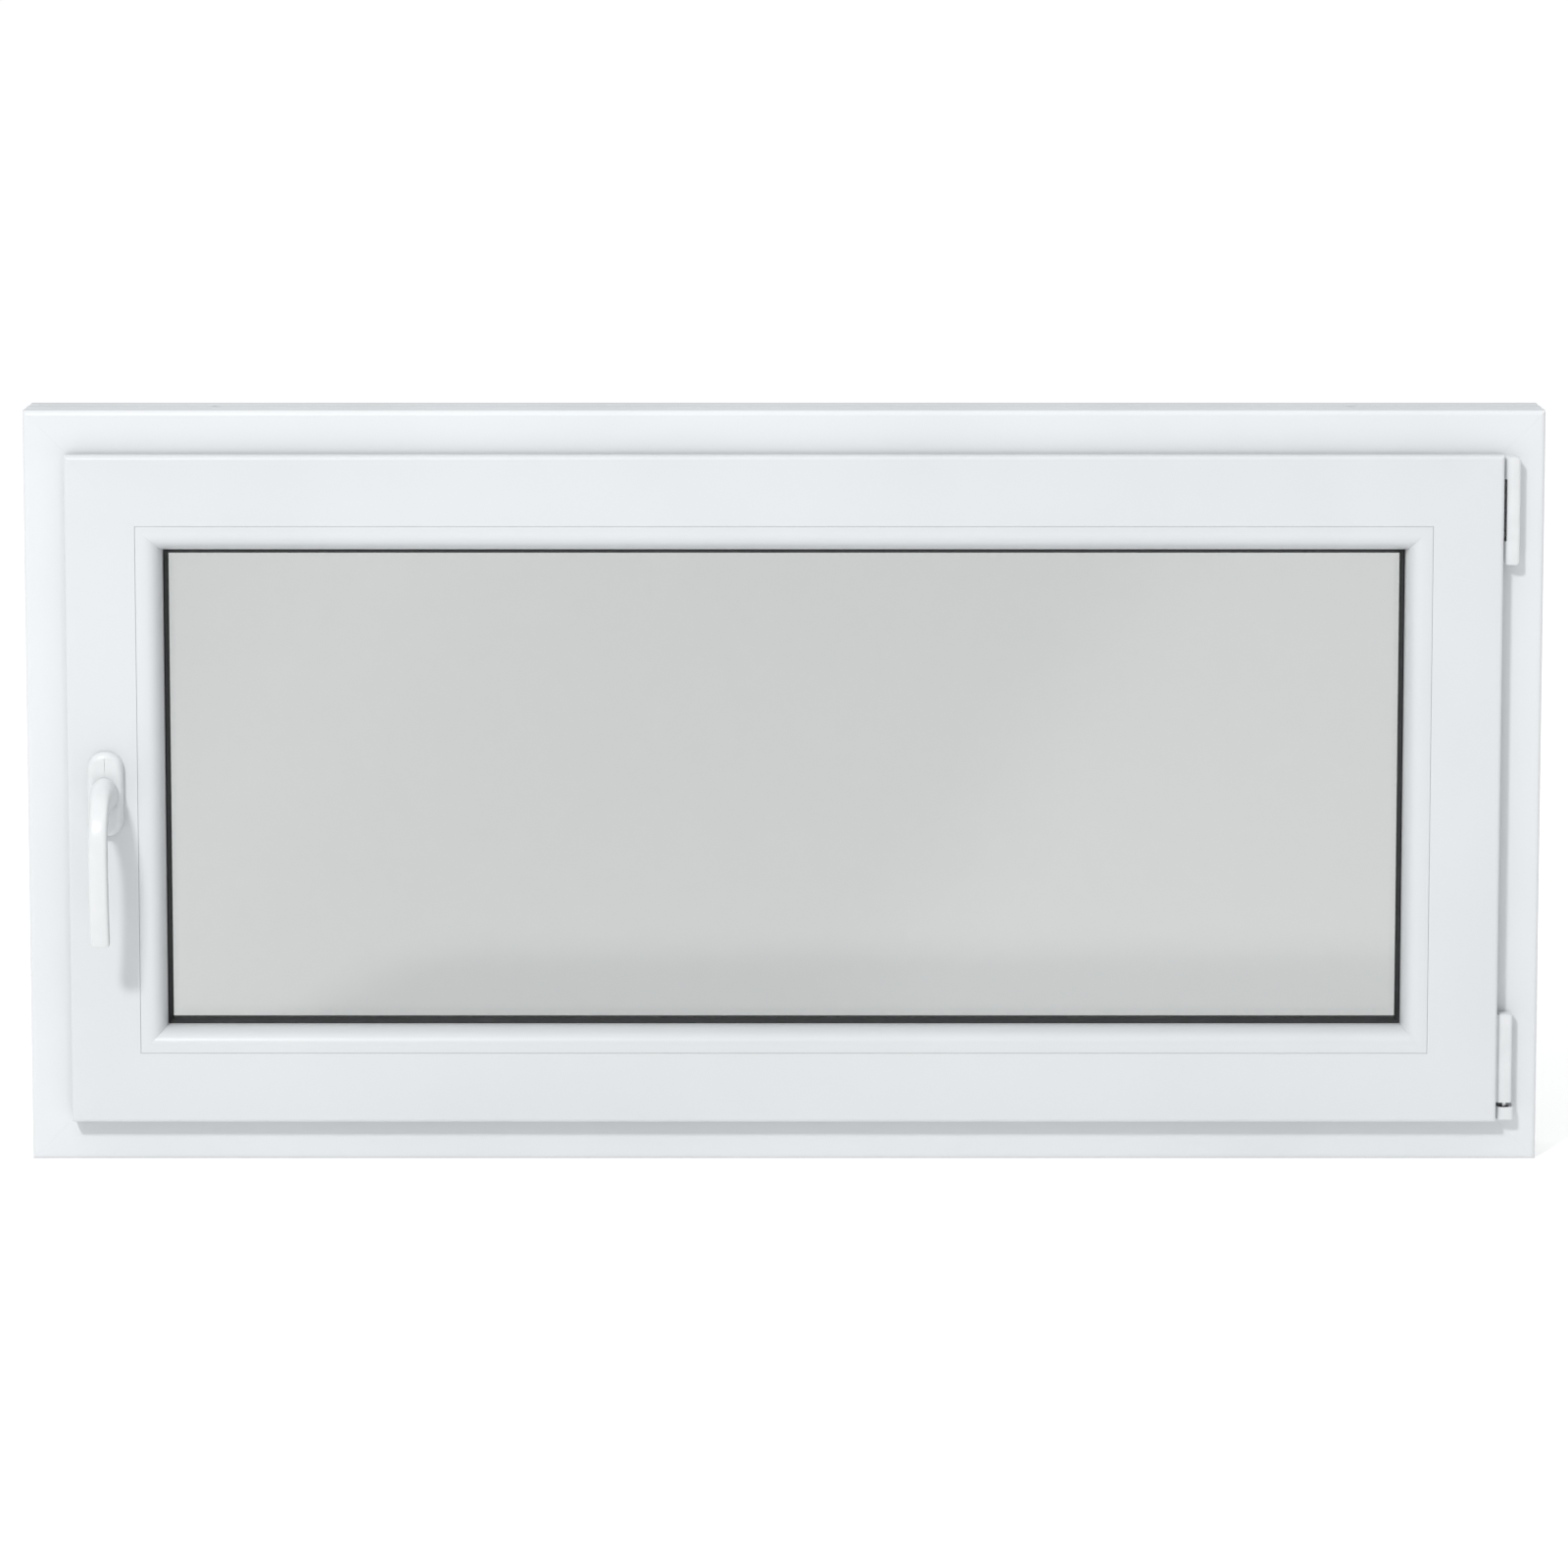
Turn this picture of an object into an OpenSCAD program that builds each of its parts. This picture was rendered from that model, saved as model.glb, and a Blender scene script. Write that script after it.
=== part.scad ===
// Tilt-and-turn casement window, seen from the room side.
// -Y points into the room, +X to the hinge side, +Z up.
// The origin is the middle of the sill's underside, half way through the frame's depth.

/* [Frame] */
// Width of the outer frame
frame_w = 1200; // [1150:10:1400]
// Height of the outer frame
frame_h = 600; // [580:10:900]
// Depth of the frame profile
frame_d = 70; // [70:1:74]
// Height of the frame profile up to the rebate
frame_rebate = 41; // [41:0.5:42]
// Height of the frame profile with its outside stop leg
stop_reach = 64; // [62:1:66]

/* [Sash] */
// Frame width that stays visible beside the sash
sash_edge = 34; // [33:0.5:34]
// How far the sash face stands in front of the frame
sash_proud = 20; // [20:1:21]
// Distance from the frame's edge to the glazing rebate
bead_seat = 89.5; // [88:0.5:92]
// Distance from the frame's edge to the visible glass
sight_line = 109.5; // [108:0.5:112]

/* [Glass] */
// Thickness of one pane
pane_t = 4; // [3:1:4]
// Width of the gas space between the panes
gas_space = 16; // [16:1:18]

/* [Handle] */
// Distance from the frame's left edge to the handle's axis
handle_inset = 64.5; // [64:0.5:65]
// Height of the handle's axis
handle_z = 298.5; // [290:0.5:310]
// Projection of the lever's front from the sash face
lever_reach = 69; // [60:1:75]
// Length of the lever below its axis
lever_drop = 110; // [95:1:125]
// Width of the lever
lever_w = 15; // [13:0.5:17]

/* [Gearing] */
// Tooth module of pinion and rack
gear_module = 1.4; // [1.3:0.05:1.4]
// Pressure angle of the teeth
pressure_angle = 25; // [25:1:27]

/* [Hinges] */
// Distance from the frame's right edge to the hinge axis
hinge_inset = 27; // [26.5:0.5:27.5]
// Distance of the hinge axis in front of the frame
hinge_proud = 8; // [8:0.5:8.5]
// Height of the ball that the sash tilts on
pivot_z = 40; // [39.5:0.5:40]
// Distance from the hinge axis to the stay's stud
stay_reach = 350; // [320:5:380]

/* [Hidden] */
$fn = 48;
eps = 0.01;
big = 3000;
flange_d = 17;
pinion_teeth = 12;

pvc_white = "#f2f5f7";
rubber_black = "#26282a";
zinc = "#c3c6c8";
zamak = "#a9adb0";

// Depth positions, from the room side to the outside
frame_front = -frame_d / 2;
frame_back = frame_d / 2;
sash_front = frame_front - sash_proud;
flange_back = sash_front + flange_d;
stop_front = frame_back - 17;
sash_back = stop_front - 3;
groove_y = flange_back + 13;
gasket_t = 3;
glass_back = sash_back - 15 - gasket_t;
glass_front = glass_back - 2 * pane_t - gas_space;
bead_front = sash_front + 0.3;
bead_back = glass_front - gasket_t - 0.4;
joint_r = 0.5;

// Distances inward from the frame's outer edge
air_gap = 11;
sash_body = frame_rebate + air_gap;
plate_face = sash_body + 0.2;
plate_back = sash_body + 2.4;
channel_floor = plate_back + 3;
glass_edge = bead_seat + 5;
rod_face = plate_back + 0.4;
rod_t = 2;
cam_end = frame_rebate + 4.5;
lip_end = frame_rebate + 3.5;

// Axes
hinge_x = frame_w / 2 - hinge_inset;
hinge_y = frame_front - hinge_proud;
handle_x = handle_inset - frame_w / 2;

// Stroke of the drive rods for half a turn of the handle
pitch_r = gear_module * pinion_teeth / 2;
tooth_pitch = PI * gear_module;
addendum = 0.9 * gear_module;
dedendum = 1.25 * gear_module;
backlash = 0.15;
stroke = PI * pitch_r;

// ---------- helpers ----------

function arc(cx, cy, rx, ry, from, to, steps) =
    [for (i = [0:steps]) let (a = from + (to - from) * i / steps) [cx + rx * cos(a), cy + ry * sin(a)]];

function box_path(u0, y0, u1, y1) = [[u0, y0], [u1, y0], [u1, y1], [u0, y1]];

function total(counts, n) = n == 0 ? 0 : counts[n - 1] + total(counts, n - 1);

// A 2D section with hollow chambers, drawn as u across and depth up.
module section(outline, chambers = []) {
    loops = concat([outline], chambers);
    sizes = [for (l = loops) len(l)];
    points = [for (l = loops) each l];
    paths = [for (k = [0:len(loops) - 1]) [for (i = [0:sizes[k] - 1]) total(sizes, k) + i]];
    polygon(points, paths);
}

// A profile bar along X with 45 degree mitres, for the side that lies on z = 0.
module bar(length, reach) {
    intersection() {
        rotate([0, -90, 0]) linear_extrude(height = length, center = true) children();
        rotate([90, 0, 0]) linear_extrude(height = big, center = true) polygon([
            [-length / 2, 0], [length / 2, 0], [length / 2 - reach, reach], [-length / 2 + reach, reach]]);
    }
}

module at_bottom() { children(); }
module at_top() { translate([0, 0, frame_h]) mirror([0, 0, 1]) children(); }
module at_left() { translate([-frame_w / 2, 0, frame_h / 2]) rotate([0, 90, 0]) children(); }
module at_right() { mirror([1, 0, 0]) at_left() children(); }

// The same section run as four mitred bars, one solid per bar.
module ring(reach) {
    at_bottom() bar(frame_w, reach) children();
    at_top() bar(frame_w, reach) children();
    at_left() bar(frame_h, reach) children();
    at_right() bar(frame_h, reach) children();
}

// A box given by its two corners.
module block(low, high) {
    translate(low) cube(high - low);
}

// A round bar along an axis, from one end to the other.
module rod_x(x0, x1, y, z, r) { translate([x0, y, z]) rotate([0, 90, 0]) cylinder(h = x1 - x0, r = r); }
module rod_y(y0, y1, x, z, r) { translate([x, y0, z]) rotate([-90, 0, 0]) cylinder(h = y1 - y0, r = r); }
module rod_z(z0, z1, x, y, r) { translate([x, y, z0]) cylinder(h = z1 - z0, r = r); }

// Plan outlines around the hinge axis
module hinge_plan(z0, z1) {
    translate([hinge_x, hinge_y, z0]) linear_extrude(height = z1 - z0) children();
}

// Round towards the room, straight back to the frame, with its right side shifted by extra.
module d_plan(r, extra = 0) {
    polygon(concat(arc(0, 0, r, r, 180, 270, 10), arc(extra, 0, r, r, 270, 360, 10),
        [[r + extra, hinge_proud], [-r, hinge_proud]]));
}

// Rounded box towards the room, straight back to the frame, with its right side shifted by extra.
// The left corner is rounder, since the sash turns round it.
module cap_plan(half, left_r, r, extra = 0) {
    polygon(concat(arc(left_r - half, left_r - half, left_r, left_r, 180, 270, 8),
        arc(half + extra - r, r - half, r, r, 270, 360, 6),
        [[half + extra, hinge_proud], [-half, hinge_proud]]));
}

module screw(length, r, head_r, head_h) {
    cylinder(h = head_h, r1 = r + 0.3, r2 = head_r);
    translate([0, 0, -length]) cylinder(h = length + eps, r = r);
}

// ---------- frame ----------

frame_outline = concat(
    [[0, frame_back], [0, 20], [3, 20], [3, 12], [0, 12], [0, -6], [3, -6], [3, -14], [0, -14]],
    arc(4, frame_front + 4, 4, 4, 180, 270, 8),
    arc(frame_rebate - 1.5, frame_front + 1.5, 1.5, 1.5, 270, 360, 4),
    [[frame_rebate, stop_front], [57, stop_front], [57, stop_front + 3], [60, stop_front + 3],
     [60, stop_front], [stop_reach, stop_front], [stop_reach, frame_back - 6], [stop_reach - 4, frame_back]]
);
steel_room = box_path(6, -20, 38, 10);
frame_chambers = [
    box_path(6, frame_front + 4, 38, -22),
    steel_room,
    box_path(6, 12, 38, frame_back - 3),
    [[40.5, stop_front + 5.5], [60, stop_front + 5.5], [60, stop_front + 10.5], [57.5, stop_front + 14],
     [40.5, stop_front + 14]]
];

fix_r = 4;
fix_y = 3;
fix_z = [150, frame_h - 150];
fix_x = [-frame_w / 2 + 150, frame_w / 2 - 150];
drain_x = [-350, 350];

module frame_bar(length) { bar(length, stop_reach) section(frame_outline, frame_chambers); }

module jamb() {
    difference() {
        at_left() frame_bar(frame_h);
        for (z = fix_z) rod_x(-frame_w / 2 - 1, -frame_w / 2 + frame_rebate + 1, fix_y, z, fix_r);
    }
}

module frame_left_jamb() { color(pvc_white) jamb(); }

module frame_right_jamb() { color(pvc_white) mirror([1, 0, 0]) jamb(); }

module frame_head() {
    color(pvc_white) difference() {
        at_top() frame_bar(frame_w);
        for (x = fix_x) rod_z(frame_h - frame_rebate - 1, frame_h + 1, x, fix_y, fix_r);
    }
}

module frame_sill() {
    color(pvc_white) difference() {
        at_bottom() frame_bar(frame_w);
        for (x = drain_x) {
            block([x - 14, frame_back - 4, 18], [x + 14, frame_back + 1, 23]);
            block([x + 30, frame_back - 24, frame_rebate - 4], [x + 55, frame_back - 19, frame_rebate + 1]);
        }
    }
}

// Galvanised box sections in the frame's main chambers.
module steel_bar(length, u0, y0, u1, y1) {
    rotate([0, -90, 0]) linear_extrude(height = length, center = true)
        section(box_path(u0, y0, u1, y1), [box_path(u0 + 1.5, y0 + 1.5, u1 - 1.5, y1 - 1.5)]);
}

module frame_steel() {
    color(zinc) difference() {
        union() {
            at_bottom() steel_bar(frame_w - 150, 6.5, -19.5, 37.5, 9.5);
            at_top() steel_bar(frame_w - 150, 6.5, -19.5, 37.5, 9.5);
            at_left() steel_bar(frame_h - 150, 6.5, -19.5, 37.5, 9.5);
            at_right() steel_bar(frame_h - 150, 6.5, -19.5, 37.5, 9.5);
        }
        for (side = [-1, 1], z = fix_z)
            translate([side * (frame_w / 2 - 20), 0, 0]) rod_x(-25, 25, fix_y, z, fix_r);
        for (x = fix_x) rod_z(frame_h - 45, frame_h + 1, x, fix_y, fix_r);
    }
}

module stop_gasket() {
    color(rubber_black) ring(62) section([
        [57.2, stop_front + 2.6], [57.2, stop_front], [55.5, stop_front], [56.2, stop_front - 2.2],
        [58.5, stop_front - 2.6], [61, stop_front - 1.8], [61.8, stop_front], [59.8, stop_front],
        [59.8, stop_front + 2.6]
    ]);
}

// ---------- fittings of one side, in local axes ----------
// Local +x is the way that side's drive rod moves, local z is the distance inward.

module on_left(z0) { translate([-frame_w / 2, 0, z0]) rotate([0, 90, 0]) mirror([1, 0, 0]) children(); }
module on_top(x0) { translate([x0, 0, frame_h]) mirror([0, 0, 1]) children(); }
module on_bottom(x0) { translate([x0, 0, 0]) mirror([1, 0, 0]) children(); }

stile_cam_z = [165, 415];
top_cam_x = [-400, 40];
bottom_cam_x = [-370, 240];
plate_w = 15.6;
screw_r = 2;
stud_r = 3.5;

// A striker: the cam's neck lies behind its lip and leaves it towards +x.
module striker() {
    difference() {
        union() {
            block([-16, groove_y - 8, frame_rebate], [24, groove_y + 10, frame_rebate + 1.5]);
            block([-14, groove_y - 8, frame_rebate + 1], [8, groove_y - 6.2, lip_end]);
        }
        for (x = [-11, 19]) rod_z(frame_rebate - 1, frame_rebate + 3, x, groove_y + 3, screw_r);
    }
}

// A slot as long as the rods' stroke
module stroke_slot(x0, length, r, low, high) {
    rod_z(low, high, x0, groove_y, r);
    rod_z(low, high, x0 + length, groove_y, r);
    block([x0, groove_y - r, low], [x0 + length, groove_y + r, high]);
}

module faceplate(x0, x1, cams, screws) {
    difference() {
        block([x0, groove_y - plate_w / 2, plate_face], [x1, groove_y + plate_w / 2, plate_back]);
        for (x = cams) stroke_slot(x, stroke, stud_r + 0.4, plate_face - 1, plate_back + 1);
        for (x = screws) rod_z(plate_face - 1, plate_back + 1, x, groove_y, screw_r);
    }
}

module drive_bar(x0, x1, screws) {
    difference() {
        block([x0, groove_y - 5, rod_face], [x1, groove_y + 5, rod_face + rod_t]);
        for (x = screws) stroke_slot(x - stroke, stroke, screw_r + 0.5, rod_face - 1, rod_face + rod_t + 1);
    }
}

module cam(x) {
    rod_z(cam_end, cam_end + 2.5, x, groove_y, 5.5);
    rod_z(cam_end + 2.4, plate_face - 0.6, x, groove_y, 4.2);
    rod_z(plate_face - 0.7, rod_face, x, groove_y, stud_r);
}

module plate_screw(x, y, z, length) {
    translate([x, y, z]) mirror([0, 0, 1]) screw(length, screw_r, 3.5, 1.4);
}

module striker_plates() {
    color(zamak) {
        for (z = stile_cam_z) on_left(z) striker();
        for (x = top_cam_x) on_top(x) striker();
        on_bottom(bottom_cam_x[1]) striker();
    }
}

module tilt_keep() {
    color(zamak) on_bottom(bottom_cam_x[0]) difference() {
        union() {
            block([-22, groove_y - 8, frame_rebate], [40, groove_y + 10, frame_rebate + 1.5]);
            block([-14, groove_y - 8, frame_rebate + 1], [8, groove_y - 6.2, lip_end]);
            block([12, groove_y + 7, frame_rebate + 1], [36, groove_y + 9, lip_end]);
        }
        for (x = [-18, 33]) rod_z(frame_rebate - 1, frame_rebate + 3, x, groove_y + 3, screw_r);
    }
}

runup_x = -60;
runup_top = sash_body - 0.8;
module runup_block() {
    color(pvc_white) difference() {
        translate([runup_x, 0, 0]) rotate([90, 0, 90]) linear_extrude(height = 60, center = true)
            polygon([[groove_y - 7, frame_rebate], [groove_y + 16, frame_rebate], [groove_y + 16, runup_top],
                [groove_y + 2, runup_top], [groove_y - 7, frame_rebate + 3]]);
        for (x = [runup_x - 20, runup_x + 20]) {
            rod_z(frame_rebate - 1, sash_body, x, groove_y + 9, screw_r);
            rod_z(sash_body - 4, sash_body, x, groove_y + 9, 4.2);
        }
    }
}

module drain_caps() {
    color(pvc_white) for (x = drain_x) difference() {
        translate([x, frame_back, 14]) rotate([90, 0, 90]) linear_extrude(height = 44, center = true)
            polygon([[0, 0], [4, 3], [4, 6], [1.6, 14], [0, 14]]);
        for (k = [-2:2]) block([x + k * 7 - 2, frame_back - 1, 13], [x + k * 7 + 2, frame_back + 2.4, 22]);
    }
}

// ---------- hinges on the frame ----------

cover_low = 479.5;
cover_high = frame_h - 35.5;
knuckle_low = 499;
knuckle_high = 546;
knuckle_r = 5;
cover_r = 6.5;
cap_corner = 3.4;
cap_turn_r = 5.9;
top_pin_r = 2.5;
run_gap = 0.05;
bracket_t = 1.8;

module top_hinge_bracket() {
    color(zinc) difference() {
        union() {
            hinge_plan(484, knuckle_low - 0.5) d_plan(5.2);
            hinge_plan(knuckle_high + 0.5, 562.5) d_plan(5.2);
            hinge_plan(490, 555) translate([2, 6.6]) square([3.2, hinge_proud - 6.6]);
            block([515, frame_front - bracket_t, 557], [hinge_x - 4, frame_front, 562.5]);
            block([515, frame_front - 0.5, 557], [556, -12, 559]);
        }
        rod_z(483, 561, hinge_x, hinge_y, top_pin_r);
        for (x = [525, 546]) rod_z(556, 560, x, -22, screw_r);
    }
}

module top_hinge_pin() {
    color(zinc) union() {
        rod_z(483, 561, hinge_x, hinge_y, top_pin_r);
        rod_z(482, 484, hinge_x, hinge_y, 3.6);
    }
}

// The cap's outline from the front: a tall plate with rounded corners.
module cover_face(low, high, w, r) {
    translate([hinge_x, 0, 0]) rotate([90, 0, 0]) linear_extrude(height = 200, center = true)
        polygon(concat(
            arc(w - r, high - r, r, r, 0, 90, 6), arc(-w + r, high - r, r, r, 90, 180, 6),
            arc(-w + r, low + r, r, r, 180, 270, 6), arc(w - r, low + r, r, r, 270, 360, 6)));
}

// White cap over bracket and knuckle, slotted on its left for the stay arm to swing out.
module top_hinge_cover() {
    color(pvc_white) difference() {
        intersection() {
            hinge_plan(cover_low, cover_high) cap_plan(cover_r, cap_turn_r, cap_corner);
            cover_face(cover_low, cover_high, cover_r, 4);
        }
        hinge_plan(cover_low + 1.4, cover_high - 1.4) translate([0, 0.02]) d_plan(5.4);
        hinge_plan(knuckle_low - 1, knuckle_high + 1) translate([-8, -8]) square([3.8, 18]);
        block([560, frame_front - bracket_t - 0.2, 556.7], [hinge_x, frame_front + 1, 562.8]);
    }
}

// Ball pivot of the sash, low on the hinge side.
ball_r = 3;
bush_r = 4.5;
rest_r = 5.8;
rest_extra = 0.8;
rest_low = 35;
rest_high = 45;

module bottom_pivot_rest() {
    color(zinc) difference() {
        union() {
            hinge_plan(rest_low + 1, rest_high - 0.2) d_plan(rest_r, rest_extra);
            block([557, frame_front - bracket_t, rest_low + 1], [hinge_x, frame_front, 44.5]);
            block([557, frame_front - 0.2, 42], [559, -10, 72]);
        }
        rod_z(pivot_z - 3.4, rest_high + 1, hinge_x, hinge_y, bush_r + run_gap);
        for (z = [51, 65]) rod_x(556, 560, -22, z, screw_r);
    }
}

module pivot_rest_cap() {
    color(pvc_white) difference() {
        hinge_plan(rest_low, rest_high) cap_plan(6.6, cap_turn_r, cap_corner, rest_extra);
        hinge_plan(rest_low + 1, rest_high + 1) d_plan(rest_r, rest_extra);
        block([560, frame_front - bracket_t, rest_low + 1], [hinge_x, frame_front + 1, rest_high + 1]);
    }
}

module frame_fitting_screws() {
    color(zinc) {
        for (x = [525, 546]) plate_screw_up(x, -22, 557);
        for (z = [51, 65]) translate([557, -22, z]) rotate([0, -90, 0]) screw(18, screw_r, 3.5, 1.4);
        for (z = stile_cam_z, dx = [-11, 19]) on_left(z) frame_screw(dx);
        for (x = top_cam_x, dx = [-11, 19]) on_top(x) frame_screw(dx);
        for (dx = [-11, 19]) on_bottom(bottom_cam_x[1]) frame_screw(dx);
        for (dx = [-18, 33]) on_bottom(bottom_cam_x[0]) frame_screw(dx);
        for (x = [runup_x - 20, runup_x + 20])
            translate([x, groove_y + 9, sash_body - 4]) screw(22, screw_r, 3.6, 1.4);
    }
}
module plate_screw_up(x, y, z) { translate([x, y, z]) rotate([180, 0, 0]) screw(18, screw_r, 3.5, 1.4); }
module frame_screw(dx) { translate([dx, groove_y + 3, frame_rebate + 1.5]) screw(18, screw_r, 3.4, 1.4); }

module pivot_bush() {
    color("#5a5f63") translate([hinge_x, hinge_y, pivot_z]) rotate_extrude() difference() {
        translate([0, -3.3]) square([bush_r, 7.9]);
        circle(r = ball_r + run_gap);
        polygon([[0, 0], [2.45, 0], [2.45, 2.2], [3.3, 5], [0, 5]]);
    }
}

// ---------- sash ----------

sash_outline = concat(
    arc(sash_edge + 3, sash_front + 3, 3, 3, 180, 270, 8),
    arc(bead_seat - joint_r, sash_front + joint_r, joint_r, joint_r, 270, 360, 5),
    [[bead_seat, -42], [bead_seat - 3, -42], [bead_seat - 3, -38], [bead_seat, -38],
     [bead_seat, sash_back - 15], [98, sash_back - 15], [98, sash_back - 12], [101, sash_back - 12],
     [101, sash_back - 15], [sight_line, sash_back - 15], [sight_line, sash_back - 11], [103, sash_back],
     [sash_body, sash_back], [sash_body, groove_y + 8], [plate_back, groove_y + 8],
     [plate_back, groove_y + 6], [channel_floor, groove_y + 6], [channel_floor, groove_y - 6],
     [plate_back, groove_y - 6], [plate_back, groove_y - 8], [sash_body, groove_y - 8],
     [sash_body, flange_back], [40, flange_back], [40, flange_back - 3], [37.5, flange_back - 3],
     [37.5, flange_back], [sash_edge, flange_back]]
);
sash_chambers = [
    box_path(42.5, sash_front + 3, bead_seat - 6, -43.5),
    box_path(60, -41, bead_seat - 6, -15.5),
    box_path(55, -13.5, bead_seat - 3, sash_back - 3),
    [[bead_seat - 0.5, 5.5], [103, 5.5], [100.5, 12], [bead_seat - 0.5, 12]]
];

module sash_bar(length) { bar(length, sight_line) section(sash_outline, sash_chambers); }

handle_pitch = 21.5;
case_half = 46;
case_u1 = 82;
case_front = groove_y - 7;
case_back = groove_y + 7;

module sash_top_rail() {
    color(pvc_white) difference() {
        at_top() sash_bar(frame_w);
        on_top(hinge_x - stay_reach) block([-8, groove_y - 5, plate_back - 1], [19, groove_y + 5, 62.5]);
    }
}

module sash_bottom_rail() { color(pvc_white) at_bottom() sash_bar(frame_w); }

module sash_lock_stile() {
    color(pvc_white) difference() {
        at_left() sash_bar(frame_h);
        on_left(handle_z)
            block([-case_half - 0.2, case_front - 0.2, plate_back],
                [case_half + 0.2, case_back + 0.2, case_u1 + 0.2]);
        rod_y(sash_front - 1, case_front, handle_x, handle_z, 7);
        for (dz = [-handle_pitch, handle_pitch])
            rod_y(sash_front - 1, case_front, handle_x, handle_z + dz, 5.3);
    }
}

module sash_hinge_stile() { color(pvc_white) at_right() sash_bar(frame_h); }

module sash_steel() {
    steel_u0 = 56;
    steel_u1 = 85.5;
    color(zinc) {
        at_bottom() steel_bar(frame_w - 220, steel_u0, -12.9, steel_u1, 11.4);
        at_top() steel_bar(frame_w - 220, steel_u0, -12.9, steel_u1, 11.4);
        at_left() steel_bar(frame_h - 220, steel_u0, -12.9, steel_u1, 11.4);
        at_right() steel_bar(frame_h - 220, steel_u0, -12.9, steel_u1, 11.4);
    }
}

// Soft lip behind the overlap flange, left out where the hinges pass.
module overlap_gasket() {
    color(rubber_black) difference() {
        ring(42) section([
            [37.7, flange_back - 2.7], [39.8, flange_back - 2.7], [39.8, flange_back], [40.8, flange_back],
            [40.2, flange_back + 1.4], [38.6, flange_back + 2], [36.8, flange_back + 1.6],
            [36, flange_back], [37.7, flange_back]
        ]);
        block([552, -60, 30], [580, -20, 126]);
        block([510, -60, 494], [580, -20, 570]);
    }
}

module pane(y) {
    x = frame_w / 2 - glass_edge;
    block([-x, y, glass_edge], [x, y + pane_t, frame_h - glass_edge]);
}

module inner_pane() { color("#cfdcda", 0.4) pane(glass_front); }
module outer_pane() { color("#cfdcda", 0.4) pane(glass_back - pane_t); }

spacer_u0 = 101;
spacer_u1 = sight_line - 0.3;
spacer_y0 = glass_front + pane_t;
spacer_y1 = spacer_y0 + gas_space;

module spacer_bar() {
    color("#8b8f93") ring(sight_line) section(box_path(spacer_u0, spacer_y0, spacer_u1, spacer_y1),
        [box_path(spacer_u0 + 1, spacer_y0 + 1, spacer_u1 - 1, spacer_y1 - 1)]);
}

module edge_seal() {
    color("#1d1f21") ring(spacer_u0 + 1) section(box_path(glass_edge + 0.5, spacer_y0, spacer_u0, spacer_y1));
}

module inner_glazing_gasket() {
    color(rubber_black) ring(114) section([
        [101, glass_front], [101, bead_back + 0.2], [103.5, bead_back + 0.2], [103.5, bead_back - 2.3],
        [105.8, bead_back - 2.3], [105.8, bead_back + 0.2], [109.4, bead_back + 0.2], [110.4, bead_back - 1],
        [112.2, bead_back + 0.8], [113.4, glass_front]
    ]);
}

module outer_glazing_gasket() {
    seat = sash_back - 15;
    color(rubber_black) ring(114) section([
        [97, glass_back], [110.8, glass_back], [110.6, seat - 0.8], [110, seat + 0.3], [109.6, seat],
        [100.8, seat], [100.8, seat + 2.6], [98.2, seat + 2.6], [98.2, seat], [97, seat]
    ]);
}

bead_outline = concat(
    arc(bead_seat + 0.1 + joint_r, bead_front + joint_r, joint_r, joint_r, 180, 270, 5),
    arc(96, -36, sight_line - 0.1 - 96, -36 - bead_front, 270, 360, 10),
    [[sight_line - 0.1, bead_back], [105.9, bead_back], [105.9, bead_back - 2.5], [103.4, bead_back - 2.5],
     [103.4, bead_back], [92.5, bead_back], [92.5, -36.5], [bead_seat + 0.1, -37.5], [bead_seat + 0.1, -38.2],
     [bead_seat - 2.7, -38.2], [bead_seat - 2.7, -41], [bead_seat + 0.1, -42]]
);
bead_chamber = [[93, -49.5], [97, -49.5], [103, -46], [106.5, -38], [106.5, -36.5], [96, -36.5], [93, -39]];

module bead(length) { bar(length, sight_line) section(bead_outline, [bead_chamber]); }

module bead_top() { color(pvc_white) at_top() bead(frame_w); }
module bead_bottom() { color(pvc_white) at_bottom() bead(frame_w); }
module bead_left() { color(pvc_white) at_left() bead(frame_h); }
module bead_right() { color(pvc_white) at_right() bead(frame_h); }

module setting_blocks() {
    color("#3d6fb0") for (x = [-380, 380])
        block([x - 50, glass_front, bead_seat], [x + 50, glass_back, glass_edge]);
}

// ---------- fittings in the sash groove ----------

corner_leg = 105;
stile_screw_z = [225, 375];
top_screw_x = [-250, -60];
bottom_screw_x = [-200, 100];
rail_screw_x = [185, 400, 520];

module lock_faceplate() {
    color(zinc) on_left(0) faceplate(corner_leg, frame_h - corner_leg, stile_cam_z, stile_screw_z);
}

module top_faceplate() {
    color(zinc) on_top(0) faceplate(corner_leg - frame_w / 2, 170, top_cam_x, top_screw_x);
}

module bottom_faceplate() {
    color(zinc) on_bottom(0) faceplate(-350, frame_w / 2 - corner_leg, [for (x = bottom_cam_x) -x],
        [for (x = concat(bottom_screw_x, [343])) -x]);
}

// Rail over the right half of the top groove, with the slot that the stay's stud slides in.
stay_x = hinge_x - stay_reach;
module stay_guide_rail() {
    color(zinc) on_top(0) difference() {
        block([170.3, groove_y - plate_w / 2, plate_face],
            [frame_w / 2 - sash_body - 8, groove_y + plate_w / 2, plate_back]);
        translate([stay_x, 0, 0]) stroke_slot(-1, 10, 4.4, plate_face - 1, plate_back + 1);
        for (x = rail_screw_x) rod_z(plate_face - 1, plate_back + 1, x, groove_y, screw_r);
    }
}

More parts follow.
